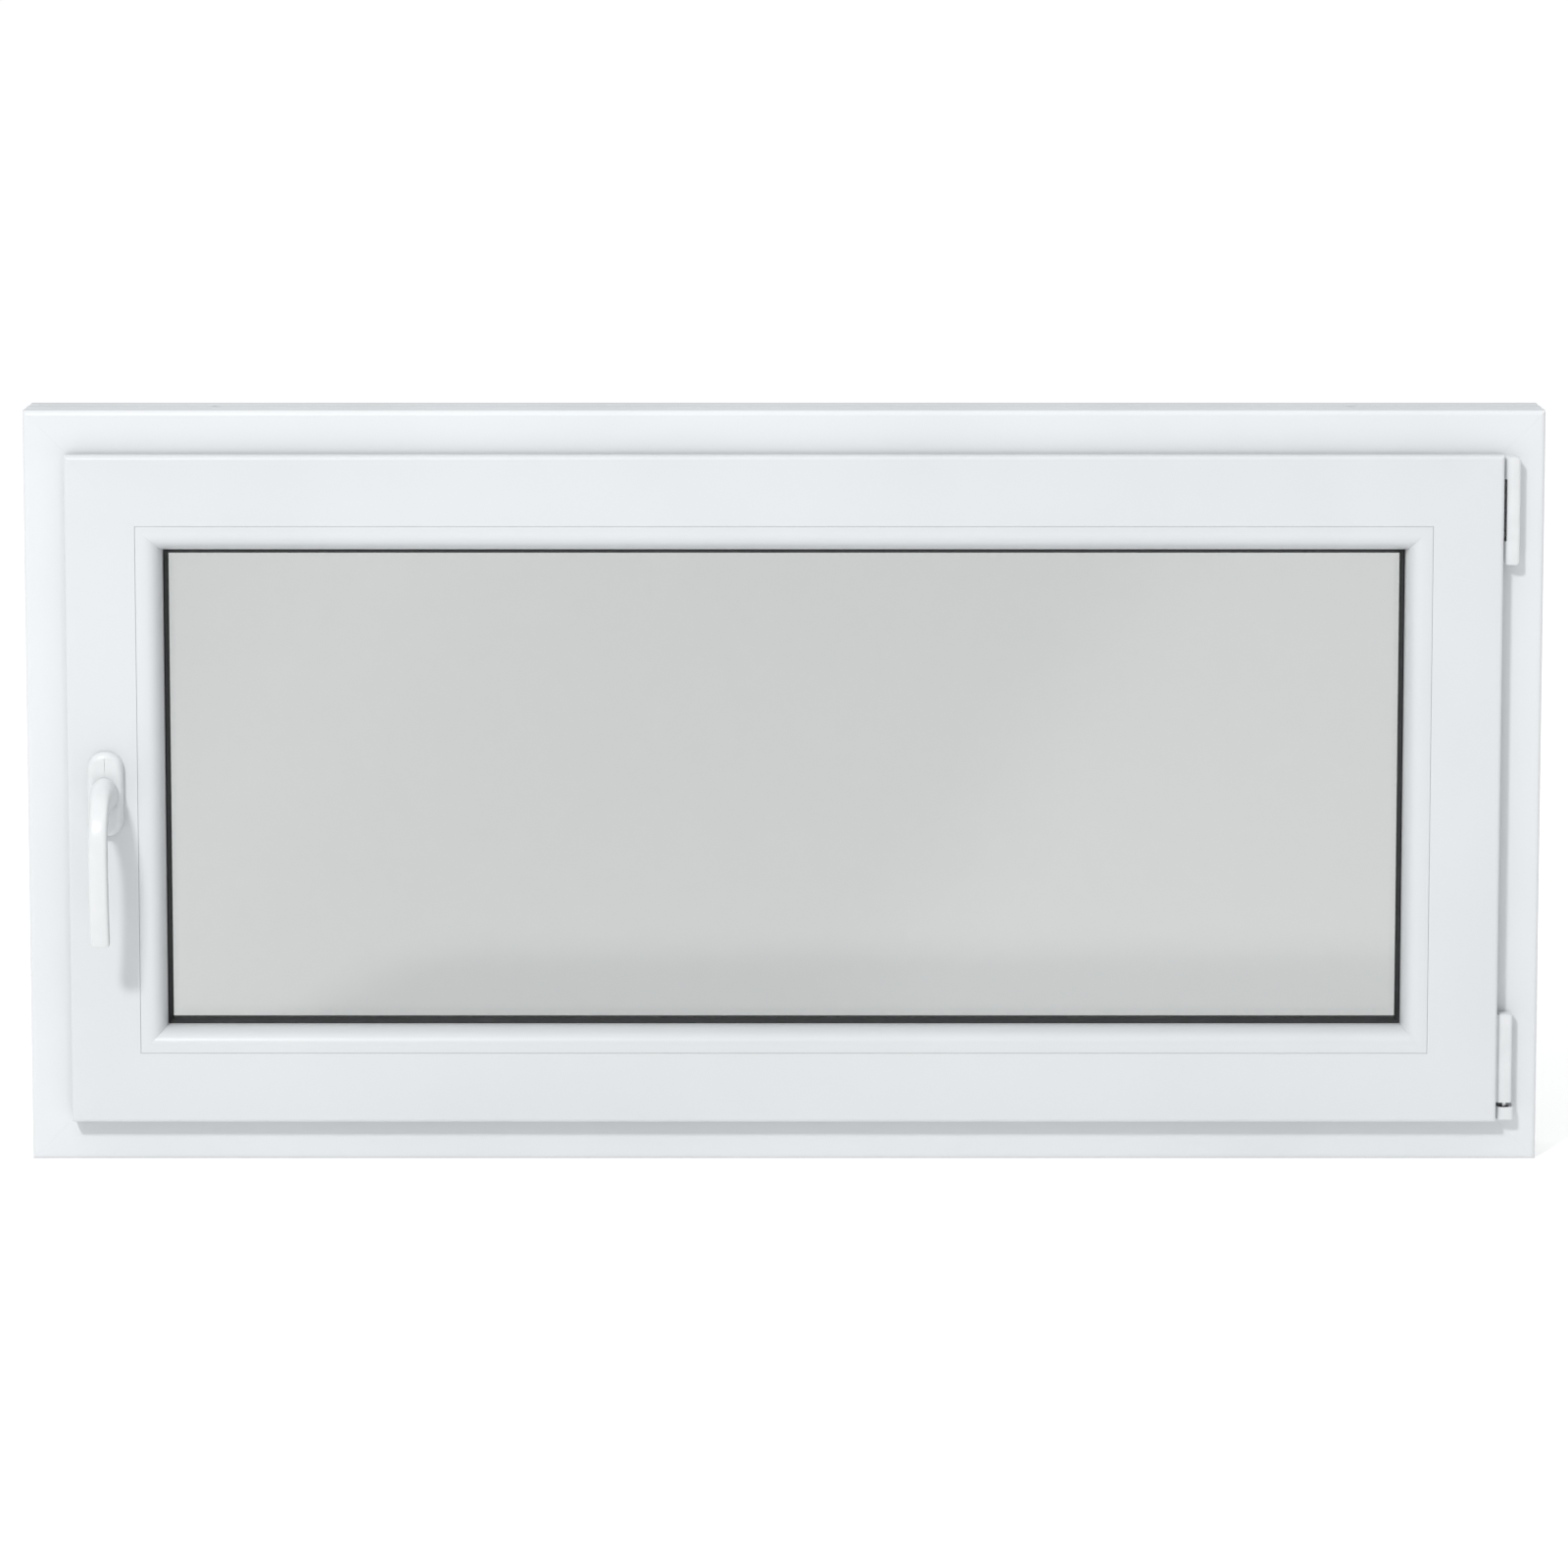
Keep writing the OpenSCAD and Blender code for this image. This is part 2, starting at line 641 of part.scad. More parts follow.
// Angle pieces that carry the drive round the two corners on the handle side.
module corner_leg_pair(u0, u1, reach, half_y) {
    x0 = u0 - frame_w / 2;
    block([x0, groove_y - half_y, u0], [reach - frame_w / 2, groove_y + half_y, u1]);
    block([x0, groove_y - half_y, u0], [u1 - frame_w / 2, groove_y + half_y, reach]);
}

module corner_drive() {
    corner_leg_pair(plate_face, plate_back, corner_leg - 0.3, plate_w / 2);
    corner_leg_pair(plate_back - 0.1, channel_floor - 0.2, corner_leg - 4.3, 5.6);
}

module corner_drives() {
    color(zinc) for (place = [0, 1]) translate([0, 0, place * frame_h]) mirror([0, 0, place]) difference() {
        corner_drive();
        for (u = [75, 92]) {
            rod_z(plate_face - 1, channel_floor, u - frame_w / 2, groove_y, screw_r);
            rod_x(plate_face - 1 - frame_w / 2, channel_floor - frame_w / 2, groove_y, u, screw_r);
        }
    }
}

module sash_fitting_screws() {
    color(zinc) {
        for (z = stile_screw_z) on_left(z) plate_screw(0, groove_y, plate_face, 16);
        for (x = concat(top_screw_x, rail_screw_x)) on_top(x) plate_screw(0, groove_y, plate_face, 16);
        for (x = concat(bottom_screw_x, [343])) on_bottom(x) plate_screw(0, groove_y, plate_face, 16);
        for (u = [75, 92]) {
            on_left(u) plate_screw(0, groove_y, plate_face, 16);
            on_left(frame_h - u) plate_screw(0, groove_y, plate_face, 16);
            on_top(u - frame_w / 2) plate_screw(0, groove_y, plate_face, 16);
            on_bottom(u - frame_w / 2) plate_screw(0, groove_y, plate_face, 16);
        }
        for (z = band_screw_z)
            translate([band_x + 2.5, groove_y, z]) rotate([0, 90, 0]) screw(16, screw_r, 3.5, 1.4);
    }
}

// ---------- sash side of the hinges ----------

band_low = 49;
band_high = 119;
band_x = frame_w / 2 - sash_body;
band_screw_z = [66, 86, 108];
wing_y0 = hinge_proud - 2.1;
wing_y1 = hinge_proud - 0.6;

module corner_band() {
    color(zinc) difference() {
        union() {
            hinge_plan(band_low, band_high) {
                circle(r = knuckle_r);
                translate([-5, 0]) square([6.5, wing_y1 - 0.1]);
            }
            hinge_plan(55, band_high) translate([band_x - hinge_x, wing_y0])
                square([hinge_x - band_x - 1, wing_y1 - wing_y0]);
            block([band_x, hinge_y + wing_y0, 55], [band_x + 2.5, -10, band_high]);
        }
        rod_z(band_low - 1, 64, hinge_x, hinge_y, 2.05);
        for (z = band_screw_z) rod_x(band_x - 1, band_x + 3, groove_y, z, screw_r);
    }
}

module corner_band_cover() {
    color(pvc_white) difference() {
        union() {
            hinge_plan(band_low - 0.4, band_high + 0.2) union() {
                rounded(5.9, 5.9, cap_corner);
                translate([hinge_inset - sash_edge + 0.05, -4.6]) square([4, 9.2]);
            }
            hinge_plan(band_high + 0.1, band_high + 1) rounded(5.3, 5.3, cap_corner - 0.4);
        }
        hinge_plan(band_low - 1, band_high + 0.1) union() {
            circle(r = knuckle_r + 0.1);
            translate([-7, 1]) square([8.6, 9]);
        }
    }
}

module pivot_pin() {
    color(zinc) translate([hinge_x, hinge_y, pivot_z]) union() {
        sphere(r = ball_r);
        cylinder(h = 23, r = 1.9);
    }
}

// ---------- stay ----------

stay_low = frame_h - 47.7;
stay_high = stay_low + 3;

module stay_arm() {
    color(zinc) difference() {
        union() {
            hinge_plan(knuckle_low, knuckle_high) {
                circle(r = knuckle_r);
                translate([-2, 0]) square([3.5, wing_y1 - 0.1]);
                translate([-23, wing_y0]) square([23, wing_y1 - wing_y0]);
            }
            hinge_plan(knuckle_high - 0.1, stay_high)
                translate([-23, wing_y0]) square([15.8, wing_y1 - wing_y0]);
            block([535, hinge_y + wing_y0, stay_low], [558, groove_y + 8, stay_high]);
            block([stay_x, groove_y - 8, stay_low], [536, groove_y + 8, stay_high]);
            rod_z(stay_low, stay_high, stay_x, groove_y, 8);
        }
        rod_z(knuckle_low - 1, knuckle_high + 1, hinge_x, hinge_y, top_pin_r + run_gap);
        rod_z(stay_low - 1, stay_high + 1, stay_x, groove_y, 2.5);
        for (x = [330, 440])
            block([x - 25, groove_y - 3, stay_low - 1], [x + 25, groove_y + 3, stay_high + 1]);
    }
}

module stay_stud() {
    color(zamak) union() {
        rod_z(539, stay_low, stay_x, groove_y, 3);
        rod_z(stay_low - 0.1, stay_high + 0.8, stay_x, groove_y, 2.5);
        rod_z(stay_high, stay_high + 1.2, stay_x, groove_y, 4);
    }
}

// ---------- handle ----------

cover_half_w = 14.2;
cover_half_h = 33.5;
cover_d = 10;
bush_out_r = 8;

// A plate in the sash face's plane, from depth d0 to d1 in front of it
module face_plan(d0, d1) {
    translate([handle_x, sash_front - d0, handle_z]) rotate([90, 0, 0])
        linear_extrude(height = d1 - d0) children();
}

module rounded(w, h, r) {
    polygon(concat(arc(w - r, h - r, r, r, 0, 90, 10), arc(-w + r, h - r, r, r, 90, 180, 10),
        arc(-w + r, -h + r, r, r, 180, 270, 10), arc(w - r, -h + r, r, r, 270, 360, 10)));
}

module handle_base_plate() {
    color(zinc) difference() {
        union() {
            face_plan(0, 6) rounded(cover_half_w - 2.2, cover_half_h - 2.2, 11);
            for (dz = [-handle_pitch, handle_pitch])
                rod_y(sash_front - 1, sash_front + 5, handle_x, handle_z + dz, 5);
        }
        rod_y(sash_front - 7, sash_front + 1, handle_x, handle_z, bush_out_r + run_gap);
        for (dz = [-handle_pitch, handle_pitch])
            rod_y(sash_front - 7, sash_front + 6, handle_x, handle_z + dz, 2.55);
    }
}

module handle_cover() {
    inset = 1.6;
    color(pvc_white) difference() {
        hull() {
            face_plan(0, 5.5) rounded(cover_half_w, cover_half_h, 13);
            face_plan(5, 8.6) rounded(cover_half_w - 0.9, cover_half_h - 0.9, 12.4);
            face_plan(8, cover_d) rounded(cover_half_w - 3, cover_half_h - 3, 10.6);
        }
        face_plan(-1, 7.8) rounded(cover_half_w - inset, cover_half_h - inset, 11.4);
        rod_y(sash_front - 12, sash_front - 5, handle_x, handle_z, bush_out_r + 0.4);
    }
}

module handle_screws() {
    color(zinc) for (dz = [-handle_pitch, handle_pitch])
        translate([handle_x, sash_front - 6, handle_z + dz]) rotate([90, 0, 0]) screw(32, 2.5, 4.6, 1.6);
}

function bezier(p, t) =
    pow(1 - t, 3) * p[0] + 3 * pow(1 - t, 2) * t * p[1] + 3 * (1 - t) * t * t * p[2] + pow(t, 3) * p[3];

// The lever's centreline as [distance from the sash face, height above the axis]
lever_mid = lever_reach - 6;
neck_gap = 0.4;
neck_line = [[cover_d + neck_gap, 0], [lever_mid - 19, 2], [lever_mid - 1, -6], [lever_mid, -38]];
grip_line = [[lever_mid, -38], [lever_mid + 0.5, -64], [lever_mid - 4, -92], [lever_mid - 9, -lever_drop]];
neck_steps = 14;
grip_steps = 14;
lever_line = concat([for (i = [0:neck_steps]) bezier(neck_line, i / neck_steps)],
    [for (i = [1:grip_steps]) bezier(grip_line, i / grip_steps)]);
ring_points = 28;

function way(i) = let (a = lever_line[max(i - 1, 0)], b = lever_line[min(i + 1, len(lever_line) - 1)])
    i == 0 ? [1, 0] : (b - a) / norm(b - a);
function soft(x) = x * x * (3 - 2 * x);
function neck_share(i) = soft(min(i / (neck_steps * 0.62), 1));
function half_width(i) = 11 + (lever_w / 2 - 11) * neck_share(i);
function half_depth(i) = 14.5 - 8.3 * neck_share(i) - 0.9 * max(0, (i - neck_steps) / grip_steps);
function superellipse(a, n) = sign(a) * pow(abs(a), 2 / n);
function lever_ring(i, scale) =
    let (c = lever_line[i], d = way(i), n = [-d[1], d[0]], power = 2 + 1.6 * neck_share(i))
    [for (k = [0:ring_points - 1]) let (a = 360 * k / ring_points,
        across = scale * half_width(i) * superellipse(cos(a), power),
        out = scale * half_depth(i) * superellipse(sin(a), power), p = c + out * n)
        [handle_x + across, sash_front - p[0], handle_z + p[1]]];

module lever() {
    last = len(lever_line) - 1;
    tip = [for (p = lever_ring(last, 0.86)) p + [0, 1.2 * way(last)[0] * -1, 1.2 * way(last)[1]]];
    rings = concat([for (i = [0:last]) lever_ring(i, 1)], [tip]);
    count = len(rings);
    points = [for (r = rings) each r];
    sides = [for (i = [0:count - 2], k = [0:ring_points - 1])
        let (a = i * ring_points + k, b = i * ring_points + (k + 1) % ring_points) each
        [[a, b, b + ring_points], [a, b + ring_points, a + ring_points]]];
    tip_start = (count - 1) * ring_points;
    ends = [[for (k = [ring_points - 1:-1:0]) k], [for (k = [0:ring_points - 1]) tip_start + k]];
    color(pvc_white) polyhedron(points, concat(sides, ends));
}

module spindle() {
    color(zinc) square_bar(sash_front - 32, case_back - 1.5);
}

module square_bar(y0, y1) {
    block([handle_x - 3.5, y0, handle_z - 3.5], [handle_x + 3.5, y1, handle_z + 3.5]);
}

module handle_bush() {
    color("#5a5f63") difference() {
        rod_y(sash_front - cover_d - neck_gap, sash_front - 1, handle_x, handle_z, bush_out_r);
        square_bar(sash_front - 20, sash_front + 1);
    }
}

// ---------- gearbox ----------

base_r = pitch_r * cos(pressure_angle);
root_r = pitch_r - dedendum;
tip_r = pitch_r + addendum;
hub_r = 6.2;
gear_y0 = groove_y - 2.6;
gear_y1 = groove_y + 2.6;

function involute(a) = tan(a) * 180 / PI - a;
function tooth_half(r) = 90 / pinion_teeth - backlash / 2 / pitch_r * 180 / PI + involute(pressure_angle)
    - (r > base_r ? involute(acos(base_r / r)) : 0);
flank = [root_r, base_r, base_r + 0.45, pitch_r, pitch_r + 0.6, tip_r];
function polar(r, a) = [r * cos(a), r * sin(a)];
pinion_outline = [for (i = [0:pinion_teeth - 1]) let (c = (i + 0.5) * 360 / pinion_teeth) each concat(
    [for (r = flank) polar(r, c - tooth_half(r))],
    [for (k = [len(flank) - 1:-1:0]) polar(flank[k], c + tooth_half(flank[k]))])];

module pinion() {
    color(zamak) difference() {
        union() {
            translate([handle_x, gear_y1, handle_z]) rotate([90, 0, 0])
                linear_extrude(height = gear_y1 - gear_y0)
                polygon(pinion_outline);
            rod_y(case_front + 0.4, case_back - 0.3, handle_x, handle_z, hub_r);
        }
        square_bar(case_front - 1, case_back + 1);
    }
}

// C-shaped slide whose teeth face back at the pinion; the rods hang on its two arms.
pitch_u = handle_inset + pitch_r;
rack_root = pitch_u + dedendum;
arm_t = 6;
top_arm = tip_r + 1;
bottom_arm = -tip_r - 1 - stroke;
function rack_tooth(z0) = let (half = tooth_pitch / 4 - backlash / 2, slope = tan(pressure_angle)) [
    [rack_root, z0 - half - dedendum * slope], [pitch_u - addendum, z0 - half + addendum * slope],
    [pitch_u - addendum, z0 + half - addendum * slope], [rack_root, z0 + half + dedendum * slope]];

module drive_rack() {
    color(zamak) translate([-frame_w / 2, groove_y + 2, handle_z]) rotate([90, 0, 0])
        linear_extrude(height = 4)
        polygon(concat(
            [[rod_face, top_arm], [rod_face, top_arm + arm_t], [rack_root + 5, top_arm + arm_t],
             [rack_root + 5, bottom_arm - arm_t], [rod_face, bottom_arm - arm_t], [rod_face, bottom_arm],
             [rack_root, bottom_arm]],
            [for (k = [-8:2]) each rack_tooth(k * tooth_pitch)],
            [[rack_root, top_arm]]));
}

module gearbox_case() {
    wall = 1.5;
    front_wall = 3.4;
    color(zinc) difference() {
        on_left(handle_z)
            block([-case_half, case_front, channel_floor + 0.2], [case_half, case_back, case_u1]);
        on_left(handle_z) block([-case_half + wall, case_front + front_wall, channel_floor - 1],
            [case_half - wall, case_back - wall, case_u1 - wall]);
        rod_y(case_front - 1, case_back + 1, handle_x, handle_z, hub_r + run_gap);
        block([channel_floor - frame_w / 2 - 1, case_front - 1, handle_z - hub_r - run_gap],
            [handle_x, case_back + 1, handle_z + hub_r + run_gap]);
        for (dz = [-handle_pitch, handle_pitch])
            rod_y(case_front - 1, case_front + 4, handle_x, handle_z + dz, 2.5);
    }
}

// ---------- drive rods and locking cams ----------

rod_low = 108;
rod_high = 460;

module stile_rods() {
    color(zinc) on_left(0) {
        drive_bar(rod_low, handle_z + bottom_arm - arm_t, [stile_screw_z[0]]);
        drive_bar(handle_z + top_arm + arm_t, rod_high, [stile_screw_z[1]]);
    }
}

module stile_cams() { color(zamak) on_left(0) for (z = stile_cam_z) cam(z); }

module top_rod() { color(zinc) on_top(0) drive_bar(-490, 140, top_screw_x); }

module top_cams() { color(zamak) on_top(0) for (x = top_cam_x) cam(x); }

module bottom_rod() { color(zinc) on_bottom(0) drive_bar(-325, 460, [for (x = bottom_screw_x) -x]); }

module bottom_cams() { color(zamak) on_bottom(0) for (x = bottom_cam_x) cam(-x); }

frame_head();
frame_sill();
frame_left_jamb();
frame_right_jamb();
frame_steel();
stop_gasket();
striker_plates();
tilt_keep();
runup_block();
drain_caps();
top_hinge_bracket();
top_hinge_pin();
top_hinge_cover();
bottom_pivot_rest();
pivot_rest_cap();
frame_fitting_screws();
pivot_bush();
sash_top_rail();
sash_bottom_rail();
sash_lock_stile();
sash_hinge_stile();
sash_steel();
overlap_gasket();
inner_pane();
outer_pane();
spacer_bar();
edge_seal();
inner_glazing_gasket();
outer_glazing_gasket();
bead_top();
bead_bottom();
bead_left();
bead_right();
setting_blocks();
lock_faceplate();
gearbox_case();
top_faceplate();
stay_guide_rail();
bottom_faceplate();
corner_drives();
corner_band();
corner_band_cover();
pivot_pin();
handle_base_plate();
handle_cover();
handle_screws();
sash_fitting_screws();
stay_arm();
stay_stud();
lever();
spindle();
handle_bush();
pinion();
drive_rack();
stile_rods();
stile_cams();
top_rod();
top_cams();
bottom_rod();
bottom_cams();
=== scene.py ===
"""Tilt-and-turn window: surface finishes, smooth-shaped handle parts, screws and a plain studio."""

import math

import bmesh
import bpy
from bpy.props import FloatProperty, FloatVectorProperty, IntProperty, PointerProperty
from mathutils import Matrix, Vector


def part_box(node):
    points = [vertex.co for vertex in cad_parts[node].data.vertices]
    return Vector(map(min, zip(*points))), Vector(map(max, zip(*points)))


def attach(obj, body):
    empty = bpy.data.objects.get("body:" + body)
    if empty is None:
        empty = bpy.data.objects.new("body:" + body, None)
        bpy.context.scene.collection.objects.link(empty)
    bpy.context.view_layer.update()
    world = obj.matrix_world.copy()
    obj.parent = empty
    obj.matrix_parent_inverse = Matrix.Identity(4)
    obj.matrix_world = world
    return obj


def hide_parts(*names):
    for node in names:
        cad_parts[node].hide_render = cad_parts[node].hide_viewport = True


bl_info = {
    "name": "Tilt-and-Turn Window",
    "version": (1, 0, 0),
    "blender": (4, 5, 0),
    "location": "View3D > Sidebar > Window",
    "description": "Finishes and fine parts of a white plastic window on its CAD frame",
    "category": "Object",
}

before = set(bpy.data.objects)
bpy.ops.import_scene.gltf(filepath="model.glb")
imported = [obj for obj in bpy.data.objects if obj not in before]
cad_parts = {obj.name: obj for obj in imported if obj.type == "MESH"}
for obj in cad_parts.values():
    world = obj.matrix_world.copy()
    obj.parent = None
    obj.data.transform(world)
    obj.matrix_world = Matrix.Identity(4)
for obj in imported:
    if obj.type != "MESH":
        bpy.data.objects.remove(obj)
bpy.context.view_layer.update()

MM = 0.001
SASH_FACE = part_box("sash_lock_stile")[0].y
AXIS_LOW, AXIS_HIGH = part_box("spindle")
HANDLE_X = (AXIS_LOW.x + AXIS_HIGH.x) / 2
HANDLE_Z = (AXIS_LOW.z + AXIS_HIGH.z) / 2
LEVER_LOW, LEVER_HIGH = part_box("lever")
COVER_LOW, COVER_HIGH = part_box("handle_cover")
FRAME_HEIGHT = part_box("frame_head")[1].z


# ---------------------------------------------------------------- settings


class ProfileSettings(bpy.types.PropertyGroup):
    """Plastic profiles of frame and sash"""

    colour: FloatVectorProperty(
        name="Plastic colour",
        description="Colour of the white plastic profiles",
        subtype="COLOR",
        default=(0.672, 0.694, 0.712),
        min=0,
        max=1,
    )
    edge: FloatProperty(
        name="Edge rounding",
        description="Radius on the profiles' sharp edges",
        subtype="DISTANCE",
        default=0.35 * MM,
        min=0,
    )
    roughness: FloatProperty(
        name="Roughness",
        description="How matt the plastic is",
        subtype="FACTOR",
        default=0.34,
        min=0,
        max=1,
    )


class GlassSettings(bpy.types.PropertyGroup):
    """Sealed glazing unit"""

    tint: FloatVectorProperty(
        name="Glass tint",
        description="Colour of the light that one pane lets through",
        subtype="COLOR",
        default=(0.735, 0.745, 0.742),
        min=0,
        max=1,
    )
    hole_pitch: FloatProperty(
        name="Spacer hole pitch",
        description="Distance between the vent holes of the spacer bar",
        subtype="DISTANCE",
        default=3 * MM,
        min=1 * MM,
    )


class HandleSettings(bpy.types.PropertyGroup):
    """Lever and its cover plate"""

    colour: FloatVectorProperty(
        name="Handle colour",
        description="Colour of the handle's white coating",
        subtype="COLOR",
        default=(0.665, 0.683, 0.695),
        min=0,
        max=1,
    )
    grip_width: FloatProperty(
        name="Grip width",
        description="Width of the lever across its front",
        subtype="DISTANCE",
        default=15 * MM,
        min=8 * MM,
    )
    smoothness: IntProperty(
        name="Smoothness",
        description="Subdivision levels of the handle's parts",
        default=2,
        min=0,
        max=3,
    )


class StageSettings(bpy.types.PropertyGroup):
    """Floor, light and camera"""

    sky: FloatProperty(
        name="Sky strength",
        description="Brightness of the soft light from above",
        default=1.2,
        min=0,
    )
    surround: FloatProperty(
        name="Surround strength",
        description="Brightness of the soft light from all sides",
        default=0.1,
        min=0,
    )
    key_power: FloatProperty(
        name="Key light power",
        description="Power of the large lamp at the front left",
        unit="POWER",
        default=310,
        min=0,
    )
    floor_glow: FloatProperty(
        name="Floor glow",
        description="Light that the lit paper floor gives off",
        default=0.455,
        min=0,
    )
    distance: FloatProperty(
        name="Camera distance",
        description="Distance of the camera in front of the frame's middle depth",
        subtype="DISTANCE",
        default=5.0,
    )
    height: FloatProperty(
        name="Camera height",
        description="Height of the camera above the floor",
        subtype="DISTANCE",
        default=1.0677,
    )
    pitch: FloatProperty(
        name="Camera pitch",
        description="How far the camera looks down",
        subtype="ANGLE",
        default=math.radians(7.055),
    )
    lens: FloatProperty(
        name="Lens",
        description="Focal length of the camera",
        unit="CAMERA",
        default=145.4,
    )
    shift: FloatProperty(
        name="Lens shift",
        description="Vertical lens shift",
        default=-0.12,
    )


# ---------------------------------------------------------------- shader writing


class Number:
    """A number from a node. Arithmetic on it adds Math nodes."""

    def __init__(self, shader, socket):
        self.shader = shader
        self.socket = socket

    def math(self, operation, *values):
        return self.shader.node("ShaderNodeMath", {"operation": operation}, dict(enumerate(values)))

    def __add__(self, other):
        return self.math("ADD", self, other)

    def __radd__(self, other):
        return self.math("ADD", other, self)

    def __sub__(self, other):
        return self.math("SUBTRACT", self, other)

    def __rsub__(self, other):
        return self.math("SUBTRACT", other, self)

    def __mul__(self, other):
        return self.math("MULTIPLY", self, other)

    def __rmul__(self, other):
        return self.math("MULTIPLY", other, self)

    def __truediv__(self, other):
        return self.math("DIVIDE", self, other)

    def __pow__(self, other):
        return self.math("POWER", self, other)

    def __abs__(self):
        return self.math("ABSOLUTE", self)

    def fraction(self):
        return self.math("FRACT", self)

    def above(self, low, high):
        """0 below low and 1 above high, with a soft step between."""
        settings = {"interpolation_type": "SMOOTHSTEP"}
        inputs = {0: self, 1: low, 2: high, 3: 0.0, 4: 1.0}
        return self.shader.node("ShaderNodeMapRange", settings, inputs)


class Shader:
    """A material under construction."""

    def __init__(self, name):
        self.material = bpy.data.materials.new(name)
        self.material.use_nodes = True
        self.tree = self.material.node_tree
        self.tree.nodes.clear()

    def node(self, kind, settings=None, inputs=None, output=0):
        made = self.tree.nodes.new(kind)
        for key, value in (settings or {}).items():
            setattr(made, key, value)
        for key, value in (inputs or {}).items():
            self.feed(made.inputs[key], value)
        return None if output is None else Number(self, made.outputs[output])

    def feed(self, socket, value):
        if isinstance(value, Number):
            self.tree.links.new(value.socket, socket)
        elif socket.type == "RGBA" and len(value) == 3:
            socket.default_value = (*value, 1)
        else:
            socket.default_value = value

    def place(self, stretch=(1, 1, 1)):
        """The point on the piece in metres, with each direction multiplied by stretch."""
        point = self.node("ShaderNodeTexCoord", output="Object")
        if stretch == (1, 1, 1):
            return point
        return self.node("ShaderNodeVectorMath", {"operation": "MULTIPLY"}, {0: point, 1: stretch})

    def axis(self, name):
        return self.node("ShaderNodeSeparateXYZ", None, {0: self.place()}, output=name)

    def noise(self, size, detail=3.0, stretch=(1, 1, 1)):
        """Soft noise whose features are about size metres across."""
        inputs = {"Vector": self.place(stretch), "Scale": 1 / size, "Detail": detail}
        return self.node("ShaderNodeTexNoise", None, inputs)

    def cells(self, size, output="Distance"):
        inputs = {"Vector": self.place(), "Scale": 1 / size}
        return self.node("ShaderNodeTexVoronoi", None, inputs, output)

    def mix(self, share, first, second):
        return self.node("ShaderNodeMix", {"data_type": "RGBA"}, {0: share, 6: first, 7: second}, 2)

    def bump(self, height, depth, before=None):
        """A normal from a height of 0 to 1 that stands for depth metres."""
        inputs = {"Height": height, "Distance": depth, "Strength": 1.0}
        if before:
            inputs["Normal"] = before
        return self.node("ShaderNodeBump", None, inputs)

    def done(self, **inputs):
        """Ends the material with one Principled shader. Input names use _ for a space."""
        named = {key.replace("_", " "): value for key, value in inputs.items()}
        surface = self.node("ShaderNodeBsdfPrincipled", None, named)
        self.node("ShaderNodeOutputMaterial", None, {"Surface": surface}, None)
        return self.material


def tone(colour, factor):
    return tuple(channel * factor for channel in colour)


ALONG = {"x": (0.02, 1, 1), "y": (1, 0.02, 1), "z": (1, 1, 0.02)}


def white_profile(name, colour, roughness, along):
    """Extruded satin plastic with faint drawing lines along the bar and a soft uneven sheen."""
    s = Shader(name)
    clouds = s.noise(0.16, 2.0)
    lines = s.noise(0.9 * MM, 2.0, ALONG[along])
    grain = s.noise(0.35 * MM, 2.0)
    dust = s.noise(9 * MM, 5.0).above(0.62, 0.8)
    base = s.mix(clouds.above(0.3, 0.7), tone(colour, 0.985), tone(colour, 1.015))
    base = s.mix(dust * 0.10, base, tone(colour, 0.9))
    gloss = roughness + (clouds - 0.5) * 0.10 + (lines - 0.5) * 0.08 + dust * 0.06
    relief = s.bump(lines, 0.006 * MM, s.bump(grain, 0.004 * MM))
    return s.done(
        Base_Color=base,
        Roughness=gloss,
        Normal=relief,
        IOR=1.5,
        Coat_Weight=0.08,
        Coat_Roughness=0.2,
    )


def moulded_plastic(name, colour, roughness=0.38):
    """Injection moulded cap: fine spark-eroded texture."""
    s = Shader(name)
    texture = s.cells(0.5 * MM)
    clouds = s.noise(14 * MM, 3.0)
    base = s.mix(clouds.above(0.3, 0.7), tone(colour, 0.975), tone(colour, 1.02))
    gloss = roughness + (clouds - 0.5) * 0.12 + (texture - 0.5) * 0.06
    return s.done(Base_Color=base, Roughness=gloss, Normal=s.bump(texture, 0.006 * MM), IOR=1.48)


def powder_coat(name, colour):
    """Baked white coating with a fine orange peel."""
    s = Shader(name)
    peel = s.noise(1.3 * MM, 1.0)
    clouds = s.noise(18 * MM, 2.0)
    base = s.mix(clouds.above(0.3, 0.7), tone(colour, 0.985), tone(colour, 1.01))
    gloss = 0.3 + (clouds - 0.5) * 0.1
    return s.done(
        Base_Color=base,
        Roughness=gloss,
        Normal=s.bump(peel, 0.012 * MM),
        Coat_Weight=0.25,
        Coat_Roughness=0.12,
    )


def black_rubber(name, along):
    """Co-extruded seal: matt black with wiped streaks and a bloom of dust."""
    s = Shader(name)
    streaks = s.noise(1.2 * MM, 2.0, ALONG[along])
    bloom = s.noise(12 * MM, 4.0).above(0.5, 0.75)
    pores = s.noise(0.3 * MM, 2.0)
    base = s.mix(bloom * 0.5 + (streaks - 0.5) * 0.4, (0.012, 0.013, 0.014), (0.032, 0.034, 0.036))
    gloss = 0.46 + (streaks - 0.5) * 0.2 + bloom * 0.12
    return s.done(Base_Color=base, Roughness=gloss, Normal=s.bump(pores + streaks * 0.6, 0.02 * MM))


